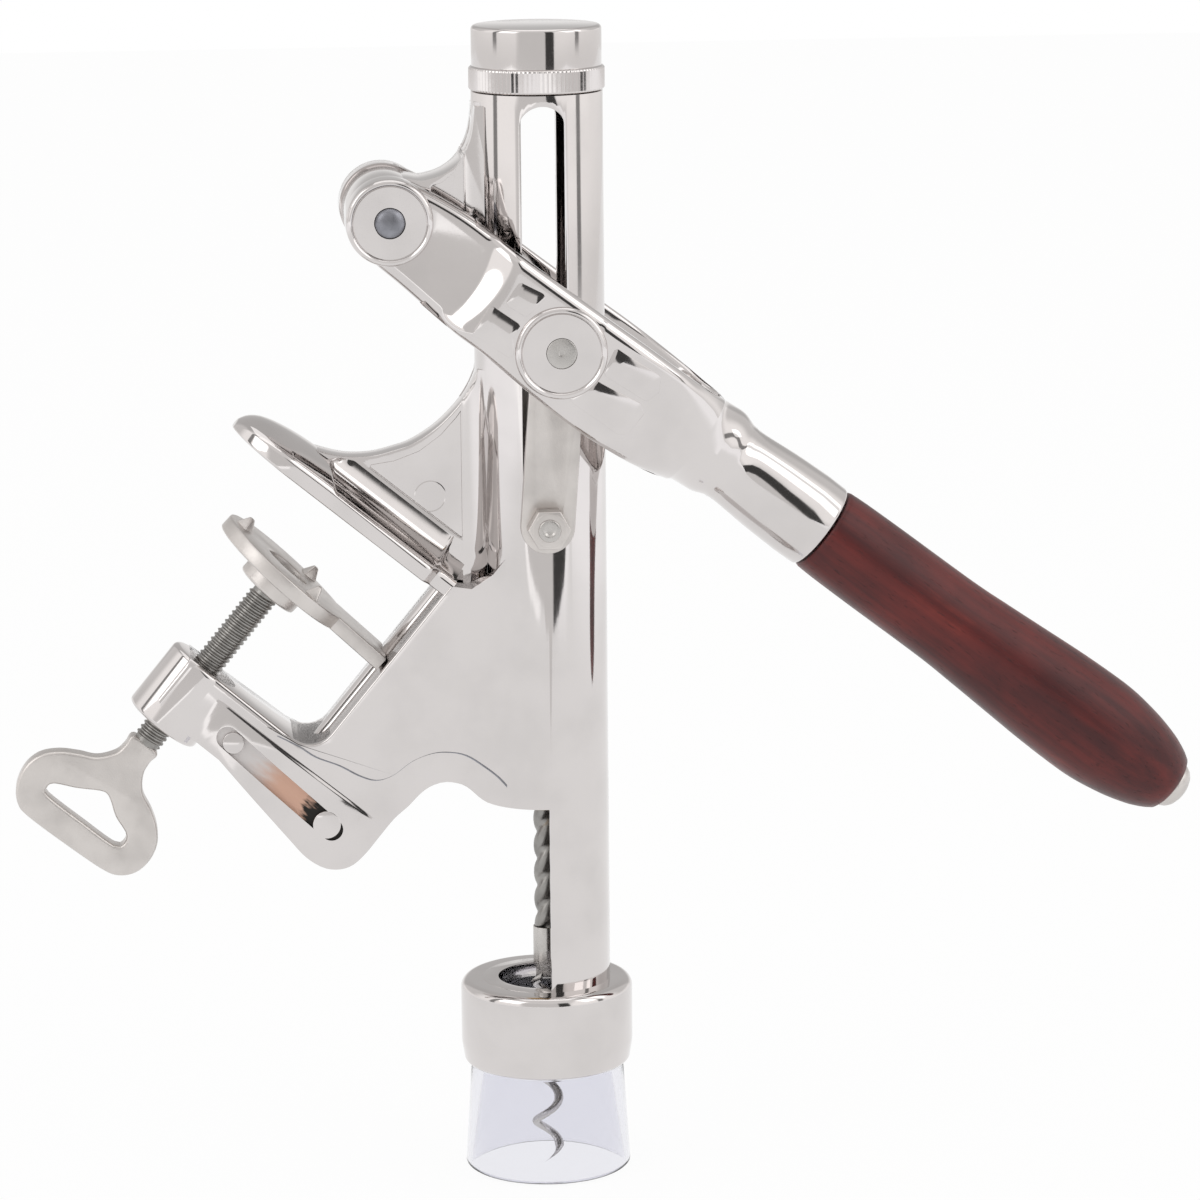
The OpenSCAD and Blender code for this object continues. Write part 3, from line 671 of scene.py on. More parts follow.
# Underside of block and arm, and the crease above it on the block's side, in barrel X and Z.
UNDERSIDE = [(-5, 102.2), (-9.3, 102.5), (-13.0, 103.1), (-16.2, 104.0), (-18.6, 105.7), (-20.6, 107.6),
             (-23.0, 109.2), (-27.0, 110.0), (-30.4, 109.3), (-33.6, 107.4), (-37.3, 103.7),
             (-41.0, 100.5), (-44.8, 96.0), (-48.6, 91.4), (-52.0, 88.3), (-55.4, 87.1), (-59.2, 87.4),
             (-62.4, 89.0), (-65.4, 91.5), (-69.0, 95.8), (-79.8, 108.9), (-86.9, 117.5)]
CREASE = [(-71.2, 123.9), (-65.6, 120.9), (-61.2, 117.9), (-55.1, 115.4), (-49.9, 112.5),
          (-45.5, 111.1), (-41.2, 112.2), (-35.9, 115.9), (-30.5, 117.9), (-26.0, 118.1),
          (-21.6, 117.1), (-17.4, 114.4), (-12.9, 110.7), (-9.0, 106.0)]
# Recess in the arm's side: its two ends, across the counter and along the clamp screw.
RECESS = ((14.6, -64.9), (51.4, -67.4))


def recess_outline(r):
    """Slot with round ends of the given radius, in clamp coordinates."""
    (t0, n0), (t1, n1) = RECESS
    lean = math.atan2(n1 - n0, t1 - t0)
    return (arc_points(t0, n0, r, lean + QUARTER, lean + 3 * QUARTER, 12)
            + arc_points(t1, n1, r, lean - QUARTER, lean + QUARTER, 12))


def narrowed(bm):
    """Narrows the arm towards the boss."""
    for v in bm.verts:
        if v.co.z < -THROAT_DEPTH + 1:
            v.co.y *= 1 - 0.26 * (1 - smoothstep(-4, 34, v.co.x))
    return bm


VALLEY_N, VALLEY_DEPTH, VALLEY_HALF = -58, 0.42, 1.3
ARM_DISCS = ((16.6, -65.1, 2.85), (49.6, -67.2, 3.75))


def clamp_body(soft):
    """Block behind the throat and the arm below it, in clamp coordinates."""
    under = [to_clamp(p.x, p.y) for p in curve_through(UNDERSIDE, 1.2)]
    crease = [to_clamp(p.x, p.y) for p in curve_through(CREASE, 1.0)]
    arm_end = [(-2.0, -71.0), (-6.0, -68.0), (-6.0, -THROAT_DEPTH)]
    throat = arc_points(THROAT_T - THROAT_FILLET, THROAT_FILLET - THROAT_DEPTH, THROAT_FILLET, -QUARTER, 0, 6)
    rail_end = [(THROAT_T, 0), (THROAT_T, 3.2)]
    top = rail_end + [to_clamp(x, z) for x, z in ((-19.7, 161.9), (-14, 165.6), (-10.8, 169.5), (-5, 172))]
    base = plate(under + arm_end + throat + top, BLOCK_HALF - 0.4, 0, (recess_outline(3.0),))
    round_rim(base, under[2:] + arm_end[:1], soft, 7)
    round_rim(base, arm_end[1:] + throat + rail_end, 1.3, 4)
    cut_across(base, [VALLEY_N + k for k in (-1.2, -0.8, -0.4, 0, 0.4, 0.8, 1.2)], (0, 0, 1))
    cut_across(base, [6, 8, 10, 20, 30, 40, 50, 55, 57, 59])
    for v in base.verts:
        off = v.co.z - VALLEY_N
        if abs(v.co.y) > BLOCK_HALF - 0.8 and abs(off) < VALLEY_HALF:
            valley = smoothstep(5.5, 10, v.co.x) * (1 - smoothstep(54, 59.2, v.co.x))
            depth = VALLEY_DEPTH * valley * math.cos(off / VALLEY_HALF * QUARTER) ** 2
            v.co.y -= math.copysign(depth, v.co.y)
    behind = [to_clamp(-5, 104)] + top[::-1] + throat[::-1] + [to_clamp(-74, 126.4)]
    side = plate(crease + behind, BLOCK_HALF, 0)
    round_rim(side, crease, 0.45, 2)
    round_rim(side, throat + rail_end, 1.4, 4)
    face = BLOCK_HALF - 0.36
    discs = [mirrored(crosswise(turned([(0, 9, 0), (r, 9, 0), (r, face, 0.25), (0, face, 0)], 40, 3), t, n))
             for t, n, r in ARM_DISCS]
    return joined(narrowed(joined(base, *discs)), side)


# Upper jaw, in clamp coordinates: height of its back along the middle, then of its side edges.
JAW_BACK = [(-34.4, 2.4), (-33.4, 4.0), (-31, 6.0), (-28, 7.2), (-24, 8.1), (-19, 8.8), (-13, 9.2),
            (-9, 9.4), (36, 9.4)]
JAW_SIDE = [(-34.4, 1.8), (-32, 3.2), (-28, 3.8), (36, 4.1)]
COVE = 9.0


def jaw_half(t):
    """Half width of the jaw: a round tip, parallel sides and a step in to the block."""
    if t < -17:
        return JAW_HALF * math.sqrt(max(1 - ((-17 - t) / 17.6) ** 2, 0.0))
    return JAW_HALF - 3.1 * smoothstep(27.5, 31, t)


def jaw_top(t, y):
    """Height of the jaw's back: domed tip, then a lip along each side and a cove up to the web."""
    a, half, low = abs(y), jaw_half(t), along(JAW_SIDE, t)
    dome = low + (along(JAW_BACK, t) - low) * (1 - (a / half) ** 2.2)
    lip = min(13.5, half - 1.2)
    hollow = COVE - math.sqrt(max(COVE ** 2 - max(0.0, lip - a) ** 2, 0.0))
    rise = 5.0 + hollow - 0.5 * smoothstep(lip + 0.6, half, a)
    cove = min(rise, 9.4 + 0.8 * max(0.0, t + 10))
    share = smoothstep(-0.9, 0.9, t + 9.4 - 0.45 * (a - 4.5))
    return dome + (cove - dome) * share


def jaw_body():
    """Upper jaw with a rounded tip and a cove on each side of the web."""
    places = [-34.4 + 0.12 * k * k for k in range(8)] + [-28 + k for k in range(16)]
    places += [-12 + 0.5 * k for k in range(18)] + [-2.5 + 1.5 * k for k in range(20)]
    places += [27.5 + 0.5 * k for k in range(8)] + [32, 34, 36]
    rings = []
    for t in places:
        half = max(jaw_half(t), 0.8)
        edge = min(0.7, half * 0.3)
        corner = [(t, y, z) for y, z in arc_points(edge - half, edge, edge, 3 * QUARTER, HALF_TURN, 4)]
        top = max(1.2, along(JAW_SIDE, t) - 0.9)
        back = []
        for i in range(1, 72):
            y = -half * math.cos(HALF_TURN * i / 72)
            inset = min(1.0, (half - abs(y)) / 1.3)
            back.append((t, y, top + (jaw_top(t, y) - top) * math.sqrt(max(0.0, 1 - (1 - inset) ** 2))))
        far = [(t, -y, z) for _, y, z in reversed(corner)]
        rings.append(corner + [(t, -half, top)] + back + [(t, half, top)] + far)
    return place(loft(rings), CLAMP)


WEB = [(-62, 199.0), (-59.2, 198.4), (-55.2, 197.2), (-51.2, 196.4), (-47.3, 196.3), (-43.3, 196.7),
       (-39.4, 197.7), (-35.4, 198.9), (-31.4, 201.0), (-27.4, 203.8), (-23.6, 207.4), (-20.6, 211.0),
       (-18.5, 214.5), (-16.9, 218.2)]
LUG_TOP = [(-40, 269.9), (-34.0, 269.6), (-31.2, 269.1), (-28.6, 269.5), (-26.0, 270.3), (-23.3, 271.8),
           (-20.7, 274.3), (-18.2, 279.0), (-17.2, 284.0), (-16.9, 288.0)]


def tube_fillet(z0, z1, limit):
    """Hollow fillet between a web and the barrel; limit gives the web's outer edge at a height."""
    r = 7.0
    cx, cy = -math.sqrt((TUBE_R + r) ** 2 - (WEB_HALF + r) ** 2), -(WEB_HALF + r)
    arc = arc_points(cx, cy, r, QUARTER, math.atan2(-cy, -cx), 14)
    rings = []
    steps = max(2, int((z1 - z0) / 1.2))
    for k in range(steps + 1):
        z = z0 + (z1 - z0) * k / steps
        x_min = max(limit(z), cx)
        stop = next((q for q in arc if q[0] >= x_min), arc[-1])
        points = [(x, y, z) if x >= x_min else (x_min, -WEB_HALF + (stop[1] + WEB_HALF) * i / 14, z)
                  for i, (x, y) in enumerate(arc)]
        points += [(-6.0, -13.0, z), (-6.0, -WEB_HALF + 0.5, z), (min(-8.0, x_min + 2.0), -WEB_HALF + 0.5, z)]
        rings.append(points)
    return mirrored(loft(rings))


def web_limit(table):
    """Outer edge of a web at a height, from its top line."""
    rows = sorted((z, x) for x, z in table)

    def limit(z):
        if z <= rows[0][0]:
            return -60.0
        for (z0, x0), (z1, x1) in zip(rows, rows[1:]):
            if z <= z1:
                return x0 + (x1 - x0) * (z - z0) / max(z1 - z0, 1e-6)
        return rows[-1][1]

    return limit


WEB_PANEL = [(-45.8, 193.9, 0.4), (-39.0, 194.9, 0), (-32.4, 197.3, 0), (-26.6, 201.5, 0),
             (-22.4, 206.1, 0), (-19.2, 210.5, 0.5), (-20.9, 173.6, 0.6)]
LUG_PANEL = [(-28.5, 267.6, 1), (-25.6, 268.6, 2), (-22.6, 271.0, 2), (-20.4, 274.4, 2),
             (-19.6, 277.0, 1), (-19.4, 243.4, 1.5), (-24.6, 248.6, 1.5), (-28.5, 252.0, 1.5)]


# Barrel heights: the foot and the window's sill go to these, the window's top and the slots' ends by these.
FOOT_Z, SILL_Z, WINDOW_RISE, SLOT_DROP = 51.0, 52.35, 2.3, 0.9
SLOT_HALF, SLOT_TOP = 6.1, 289.6


def casting_barrel(edge):
    """The frame's barrel with its foot let into the ring, a taller window and lower slot ends."""
    barrel = place(from_cad("barrel"), BARREL.inverted())
    for v in barrel.verts:
        if v.co.z < 54:
            v.co.z = FOOT_Z
        elif v.co.z < 57:
            v.co.z = SILL_Z
        elif 99 < v.co.z < 102:
            v.co.z += WINDOW_RISE
        if abs(v.co.x) < SLOT_HALF and v.co.z < SLOT_TOP:
            v.co.z -= SLOT_DROP * smoothstep(281, 289, v.co.z)
    return place(bevelled(barrel, edge), BARREL)


def panelled_web(outline, corners, half, edge, floor_half, segments):
    """Flat web with a sunk panel on each side."""
    panel = [(p.x, p.y) for p in rounded(corners)]
    return [plate(outline, half, edge, (panel,), segments), plate(panel, floor_half, 0)]


class CORKSCREW_OT_casting(bpy.types.Operator):
    """Model the casting in one piece: barrel, clamp frame, jaw, lug and ring"""

    bl_idname = "corkscrew.casting"
    bl_label = "Casting"

    def execute(self, context):
        sizes = context.scene.corkscrew_sizes
        barrel = casting_barrel(sizes.edge / MM)
        ring = turned([(13.0, 48.5, 0), (13.0, 52.3, 0.8), (23.1, 52.3, 2.6), (23.1, 35.0, 12.0),
                       (22.2, 29.2, 2.4), (19.3, 29.2, 0.4), (19.3, 48.5, 0), (13.0, 48.5, 0)], 128, 8)
        body = clamp_body(sizes.soft / MM)
        foot = -THROAT_DEPTH - 3
        rail = place(turned([(0, foot, 0), (RAIL_R, foot, 0), (RAIL_R, 0.8, 0.2), (0, 0.8, 0)], 64, 2),
                     Matrix.Translation((RAIL_T, 0, 0)))
        boss = turned([(PIN_HOLE, -74.4, 0), (10.6, -74.4, 1.2), (10.6, -THROAT_DEPTH, 1.4),
                       (PIN_HOLE, -THROAT_DEPTH, 0)], 96, 5)

        outline = [(p.x, p.y) for p in curve_through(WEB, 1.2)]
        outline += [(-5, 219), (-5, 160), (-25.6, 163), (-61, 195.0)]
        webs = panelled_web(outline, WEB_PANEL, WEB_HALF, 0.6, 3.85, 4)
        mark = lathe([(3.8, 3.8), (3.8, 3.92), (4.05, 3.96), (4.3, 3.92), (4.3, 3.8), (3.8, 3.8)], 48)
        webs += [mirrored(crosswise(mark, -29.6, 185.1)), tube_fillet(158.0, 219.0, web_limit(WEB[6:]))]

        under = [(-5, 226), (-17, 231), (-21, 237), (-27, 243), (-34, 248), (-40, 249)]
        outline = [(p.x, p.y) for p in curve_through(LUG_TOP, 1.2)] + [(-5, 289)] + under
        webs += panelled_web(outline, LUG_PANEL, 9.0, 1.6, 5.0, 5)
        pivot = turned([(PIN_HOLE, 0, 0), (10.7, 0, 0), (10.7, 13.0, 1.2), (PIN_HOLE, 13.0, 0)], 96, 5)
        webs += [mirrored(crosswise(pivot, *PIVOT)), tube_fillet(228.0, 289.0, web_limit(LUG_TOP))]
        parts = [barrel, place(ring, BARREL)] + [place(part, CLAMP) for part in (body, rail, boss)]
        parts += [jaw_body()] + [place(part, BARREL) for part in webs]
        make_piece("casting", joined(*parts), "frame", "cast_nickel",
                   ("barrel", "bell_ring", "clamp_block", "clamp_arm", "upper_jaw", "pivot_lug"), 32)

        # Painted reflection: a thin dark strip in the dark steel finish along the crease stands for the dark
        # reflection seen there.
        crease = [to_clamp(p.x, p.y) for p in curve_through(CREASE, 1.0)]
        joint_ring_and_painted_line = plate([(t - 0.2, n - 0.38) for t, n in crease] + crease[::-1], BLOCK_HALF - 0.33, 0)
        make_piece("crease_painted_reflection", place(narrowed(joint_ring_and_painted_line), CLAMP), "frame", "dark_steel")
        # Floor of the arm's recess, with the painted reflection finish.
        floor = narrowed(plate(recess_outline(3.3), BLOCK_HALF - 1.5, 0))
        make_piece("recess_floor", place(floor, CLAMP), "frame", "recess_painted_reflection")
        return {"FINISHED"}


class CORKSCREW_OT_cap(bpy.types.Operator):
    """Model the top cap with its knurled band"""

    bl_idname = "corkscrew.cap"
    bl_label = "Top cap"

    def execute(self, context):
        count = context.scene.corkscrew_sizes.knurls
        top = turned([(0, 297.6, 0), (17.0, 297.6, 0), (17.0, 308.3, 1.1), (0, 308.3, 0)], 128, 6)
        band = bmesh.new()
        ring = bmesh.ops.create_circle(band, cap_ends=True, radius=17.75, segments=count * 4)["verts"]
        rows = [(291.3, 16.9, 0.0), (291.75, 17.5, 0.3), (292.1, 17.75, 1.0), (297.1, 17.75, 1.0),
                (297.5, 17.5, 0.3), (297.9, 17.0, 0.0)]
        bmesh.ops.translate(band, vec=(0, 0, rows[0][0]), verts=ring)
        face = band.faces[:]
        levels = [ring]
        for _ in rows[1:]:
            geom = bmesh.ops.extrude_face_region(band, geom=face)["geom"]
            face = of_kind(geom, bmesh.types.BMFace)
            levels.append(of_kind(geom, bmesh.types.BMVert))
        for verts, (height, radius, depth) in zip(levels, rows):
            for v in verts:
                turn = math.atan2(v.co.y, v.co.x)
                phase = round(turn / FULL_TURN * count * 4) % 4
                r = radius - depth * (0.34 if phase == 2 else 0.17 if phase else 0.0)
                v.co = (r * math.cos(turn), r * math.sin(turn), height)
        bmesh.ops.recalc_face_normals(band, faces=band.faces)
        make_piece("cap", place(joined(top, band), BARREL), "frame", "cast_nickel", ("top_cap",), 50)
        return {"FINISHED"}


class CORKSCREW_OT_bell(bpy.types.Operator):
    """Model the clear bell"""

    bl_idname = "corkscrew.bell"
    bl_label = "Clear bell"

    def execute(self, context):
        bell = turned([(17.25, 49.4, 0), (19.2, 49.4, 0.4), (19.2, 29.1, 0.3), (20.5, 28.9, 0.5),
                       (22.3, 0.9, 0.9), (21.3, 0.0, 0.9), (20.3, 0.9, 0.9), (17.25, 28.0, 3.0),
                       (17.25, 49.4, 0)], 128, 5)
        make_piece("bell", place(bell, BARREL), "frame", "clear_plastic", ("clear_bell",), 40)
        return {"FINISHED"}


# Lever arms. Tables run along the lever, from the rear pivot.
ARM_LOW = [(-12, -9.0), (2.9, -10.9), (11.6, -11.4), (29.2, -12.8), (39.5, -12.9), (54.7, -14.0),
           (70.6, -14.5), (83.0, -14.0), (95.9, -13.0), (102, -12.3), (108, -12.1)]
ARM_HIGH = [(-12, 9.0), (6, 12.6), (15.7, 13.6), (31.8, 13.4), (46.1, 13.4), (60.9, 13.6), (74.0, 13.8),
            (91.1, 13.6), (98, 13.5), (103, 13.8), (108, 14.3)]
ARM_OUT = [(36, 27.3), (66, 27.4), (72, 27.0), (78, 26.0), (84, 24.3), (90, 22.0), (96, 19.0),
           (101, 16.2), (105, 14.2), (108, 13.2)]
ARM_IN = [(66, 21.45), (72, 21.3), (78, 20.6), (83, 19.2), (88, 17.0), (92, 14.6), (95, 12.0),
          (97.5, 8.8), (99.4, 5.0), (100.2, 0.0)]
HUB = [(108, 13.2), (109.5, 13.0), (111.2, 12.3), (112.8, 11.5), (114.4, 11.1), (116.5, 11.1),
       (120, 11.35), (126, 11.8), (132, 12.05), (142.6, 12.1), (143.1, 12.0), (143.4, 11.7)]
# The arms step outwards between the rear pivot and STEP_END, and are a round hub from HUB_START on.
STEP_END, HUB_START = 60, 108


def arm_ring(u, rim):
    """One cross-section of the near arm, square to the lever: outer side first, then inner."""
    low, high = along(ARM_LOW, u), along(ARM_HIGH, u)
    side, inner = along(ARM_OUT, u), along(ARM_IN, u)
    if u > HUB_START:
        side = along(HUB, u)
        low, high = GRIP_V - side, GRIP_V + side
    grow = smoothstep(84, HUB_START, u)
    corner = min(rim + (13.2 - rim) * grow, (high - low) / 2, side - inner)
    tight = min(1.3, inner * 0.6)
    rise = [QUARTER * k / 9 for k in range(10)]
    outer = [(low + corner * (1 - math.cos(a)), side - corner * (1 - math.sin(a))) for a in rise]
    outer += [(low + corner + (high - low - 2 * corner) * k / 14, side) for k in range(1, 14)]
    fall = [QUARTER * (1 - k / 9) for k in range(10)]
    outer += [(high - corner * (1 - math.cos(a)), side - corner * (1 - math.sin(a))) for a in fall]
    rise = [QUARTER * k / 3 for k in range(4)]
    inside = [(high - tight * (1 - math.cos(a)), inner + tight * (1 - math.sin(a))) for a in rise]
    inside += [(high - tight - (high - low - 2 * tight) * k / 10, inner) for k in range(1, 10)]
    fall = [QUARTER * (1 - k / 3) for k in range(4)]
    inside += [(low + tight * (1 - math.cos(a)), inner + tight * (1 - math.sin(a))) for a in fall]
    if u < STEP_END:
        for i, (v, y) in enumerate(outer):
            reach = math.hypot(u, v)
            rear = 21.9 + 0.075 * max(0.0, reach - 11)
            y += rear + (27.35 - rear) * smoothstep(26.0, 35.0, reach) - side
            outer[i] = (v, y)
        for i, (v, y) in enumerate(inside):
            outward = smoothstep(21.2, 22.8, math.hypot(u, v))
            inside[i] = (v, y - (ARM_IN[0][1] - 14.6) * (1 - outward))
    return [(u, -y, v) for v, y in outer], [(u, -y, v) for v, y in inside]


def boss_turning(r, low, high):
    """Boss on an arm: flat face with a fine groove round it and a full round rim."""
    face = [(r - 1.95, high - 0.3), (r - 1.85, high - 0.55), (r - 1.7, high - 0.5)]
    rim = [(r - 1.55, high - 0.25), (r - 1.1, high), (r - 0.7, high - 0.1), (r - 0.35, high - 0.4),
           (r - 0.1, high - 0.9), (r, high - 1.6), (r, low)]
    return lathe([(PIN_HOLE, low), (PIN_HOLE, high - 0.3)] + face + rim + [(PIN_HOLE, low)], 96)


# Raised panels on an arm's side: corners along and across the lever, and a lean of the face.
ARM_PANELS = [
    ([(35.2, 7.9), (43.6, 9.4), (42.2, 1.6), (35.6, 1.0)], 0.012),
    ([(33.0, -1.2), (42.8, -0.8), (42.6, -4.6), (46.6, -9.4), (33.4, -10.2)], -0.012),
    ([(65.4, 9.0), (79.8, 9.8), (82.2, 6.0), (80.8, 2.2), (67.2, 1.4)], 0.012),
    ([(63.2, -9.2), (67.0, -0.8), (79.8, 1.0), (82.4, -0.6), (82.2, -7.4), (80.0, -9.0)], -0.012),
]


# Radius of the wooden grip along the lever, from the ferrule to the end nut.
GRIP_LINE = [(12.0, 145.6), (12.2, 150), (12.35, 162), (12.45, 186), (13.0, 198), (13.7, 210), (14.4, 222),
             (14.72, 233), (14.6, 240), (13.9, 246), (12.8, 252), (11.1, 258), (9.4, 261.8)]


def arm_shell(rim):
    """Both arms and the hub as one skin, smoothed where the arms run into the hub."""
    stations = [-4 + 0.8 * k for k in range(148)]
    stations += [114.4, 116.5, 118.5, 120.5, 123, 126, 129, 132, 137, 142.6, 143.1, 143.4]
    rings = [arm_ring(u, rim) for u in sorted(stations)]
    apart = [(out, inside) for out, inside in rings if abs(inside[6][1]) > 1e-6]
    closed = [out for out, inside in rings if abs(inside[6][1]) < 1e-6]
    joint_ring_and_painted_line = closed[0]
    u, low, high = joint_ring_and_painted_line[0][0], joint_ring_and_painted_line[0][2], joint_ring_and_painted_line[-1][2]
    near = [out + inside for out, inside in apart]
    near.append(joint_ring_and_painted_line + [(u, 0.0, high + (low - high) * (i + 0.5) / 17) for i in range(17)])
    hub = loft([out + [(u, -y, v) for u, y, v in reversed(out[1:-1])] for out in closed])
    shell = joined(mirrored(loft(near)), hub)
    bmesh.ops.remove_doubles(shell, verts=shell.verts, dist=0.02)
    for _ in range(10):
        bmesh.ops.smooth_vert(shell, verts=[v for v in shell.verts if 101.5 < v.co.x < 113], factor=0.5,
                              use_axis_x=False, use_axis_y=True, use_axis_z=True)
    return shell


def arm_pads():
    """Raised panels that follow the near arm's side."""
    pads = bmesh.new()
    for outline, tilt in ARM_PANELS:
        shape = [(p.x, p.y) for p in rounded([(u, v, 1.2) for u, v in outline], 4)]
        pad = plate(shape, 0.5, 0.14, (), 2)
        low, high = min(p[0] for p in shape), max(p[0] for p in shape)
        cut_across(pad, [low + (high - low) * k / 8 for k in range(1, 8)])
        for v in pad.verts:
            v.co.y += 0.27 - along(ARM_OUT, v.co.x) + tilt * v.co.z
        pads = joined(pads, pad)
    return pads


class CORKSCREW_OT_lever(bpy.types.Operator):
    """Model the lever: yoke, grip, end nut and pins"""

    bl_idname = "corkscrew.lever"
    bl_label = "Lever"

    def execute(self, context):
        rear = crosswise(boss_turning(11.3, 14.5, 23.75))
        boss = crosswise(boss_turning(12.1, 21.5, 28.6), CRANK, -0.5)
        yoke = joined(arm_shell(context.scene.corkscrew_sizes.rim / MM), mirrored(arm_pads()),
                      mirrored(joined(rear, boss)))
        make_piece("lever_yoke", place(yoke, LEVER), "lever_body", "cast_nickel", ("yoke",), 40)

        line = curve_through(GRIP_LINE, 1.5)
        profile = [(PIN_HOLE, 144.1), (11.4, 144.1), (11.75, 144.4), (11.95, 145.0)]
        profile += [(p.x, p.y) for p in line]
        profile += [(8.4, 263.4), (7.4, 264.0), (PIN_HOLE, 264.0), (PIN_HOLE, 144.1)]
        make_piece("grip", place(lathe(profile, 128), GRIP), "lever_body", "stained_wood", ("wood_grip",), 40)
        dome = lathe([(0, 263.6), (6.4, 263.6), (6.6, 264.1), (6.45, 265.2), (5.9, 266.3), (4.9, 267.3),
                      (3.4, 268.05), (1.7, 268.4), (0, 268.5)], 96)
        make_piece("grip_nut", place(dome, GRIP), "lever_body", "satin_nickel", ("end_nut",), 45)
        pin = turned([(0, 21.4, 0), (3.95, 21.4, 0.3), (3.95, 28.4, 0.3), (0.9, 28.4, 0.2), (0.5, 28.25, 0.1),
                      (0, 28.25, 0)], 64, 4)
        pins = mirrored(crosswise(pin, CRANK, -0.5))
        make_piece("arm_pins", place(pins, LEVER), "lever_body", "turned_steel", ("link_pins",), 40)
        return {"FINISHED"}


class CORKSCREW_OT_pivot(bpy.types.Operator):
    """Model the domed ends of the rear pin"""

    bl_idname = "corkscrew.pivot"
    bl_label = "Rear pin"

    def execute(self, context):
        end = [(PIN_R, 23.0), (3.85, 23.5), (3.4, 24.0), (2.6, 24.5), (1.5, 24.8), (0, 24.9)]
        pin = crosswise(lathe([(r, -z) for r, z in reversed(end)] + end, 64), *PIVOT)
        make_piece("pivot_pin", place(pin, BARREL), "frame", "dark_steel", ("rear_pin",), 40)
        return {"FINISHED"}


class CORKSCREW_OT_links(bpy.types.Operator):
    """Model the links and the nuts of the cross bolt"""

    bl_idname = "corkscrew.links"
    bl_label = "Links"

    def execute(self, context):
        outline = arc_points(0, 0, LINK_R, HALF_TURN, FULL_TURN, 20)
        outline += arc_points(0, LINK_LEN, LINK_R, 0, HALF_TURN, 20)
        eyes = (circle_points(0, 0, BOLT_R + 0.06), circle_points(0, LINK_LEN, PIN_R + 0.03))
        for side, name in ((-1, "near"), (1, "far")):
            bar = place(plate(outline, 1.5, 0.3, eyes, 3), Matrix.Translation((0, side * 19.4, 0)))
            make_piece("link_plate_" + name, place(bar, LINK), "link_body", "satin_nickel",
                       ("link_" + name,), 40)
        nut = bmesh.new()
        bmesh.ops.create_cone(nut, cap_ends=True, segments=6, radius1=5.774, radius2=5.774, depth=4.9)
        place(nut, Matrix.Translation((0, 0, 23.55)) @ Matrix.Rotation(math.radians(30), 4, "Z"))
        bevelled(nut, 0.35, 40, 3)
        chamfer = turned([(3.0, 25.9, 0), (4.6, 25.9, 0.1), (4.4, 26.1, 0.2), (3.0, 26.1, 0)], 48, 2)
        nuts = mirrored(crosswise(joined(nut, chamfer)))
        make_piece("bolt_nuts", place(nuts, BOLT), "carriage_body", "satin_nickel", ("link_nuts",), 40)
        bolt = turned([(0, 0, 0), (BOLT_R, 0, 0), (BOLT_R, 26.8, 0.5), (1.6, 26.8, 0.6), (0.9, 26.35, 0.3),
                       (0, 26.3, 0)], 48, 4)
        ends = mirrored(crosswise(bolt))
        make_piece("bolt_ends", place(ends, BOLT), "carriage_body", "turned_steel", ("cross_bolt",), 40)
        return {"FINISHED"}


def screw_bar(section, z0, z1, lead, steps_per_turn):
    """Sweeps a closed section (x, y, z points) upwards while turning it right-handed."""
    bm = bmesh.new()
    verts = [bm.verts.new(p) for p in section]
    edges = [bm.edges.new((a, b)) for a, b in zip(verts, verts[1:] + verts[:1])]
    turns = (z1 - z0) / lead
    steps = int(turns * steps_per_turn)
    bmesh.ops.spin(bm, geom=verts + edges, cent=(0, 0, 0), axis=(0, 0, 1), angle=FULL_TURN * turns,
                   steps=steps, dvec=(0, 0, (z1 - z0) / steps))
    bmesh.ops.holes_fill(bm, edges=bm.edges, sides=0)
    bmesh.ops.recalc_face_normals(bm, faces=bm.faces)
    return bm


def spindle_section(z):
    """Cross-section of the fast two-start spindle."""
    section = []
    for k in range(28):
        a = FULL_TURN * k / 28
        ridge = max(0.0, abs(math.cos(a)) - 0.35) / 0.65
        r = 2.25 + 0.85 * ridge ** 0.6
        section.append((r * math.cos(a), r * math.sin(a), z))
    return section


def worm_point(wire, foot, length):
    """Last part of the worm's wire, which runs down from the foot and thins out to a point."""
    point = screw_bar(wire, foot, foot + length, WORM_LEAD, 30)
    back = Matrix.Rotation(-FULL_TURN * length / WORM_LEAD, 4, "Z")
    place(point, Matrix.Translation((0, 0, -length)) @ back)
    for v in point.verts:
        turn = (v.co.z - foot) / WORM_LEAD * FULL_TURN
        centre = Vector((WORM_R * math.cos(turn), WORM_R * math.sin(turn), v.co.z))
        v.co = centre + (v.co - centre) * max(0.06, smoothstep(2.0, 6.2, v.co.z))
    return point


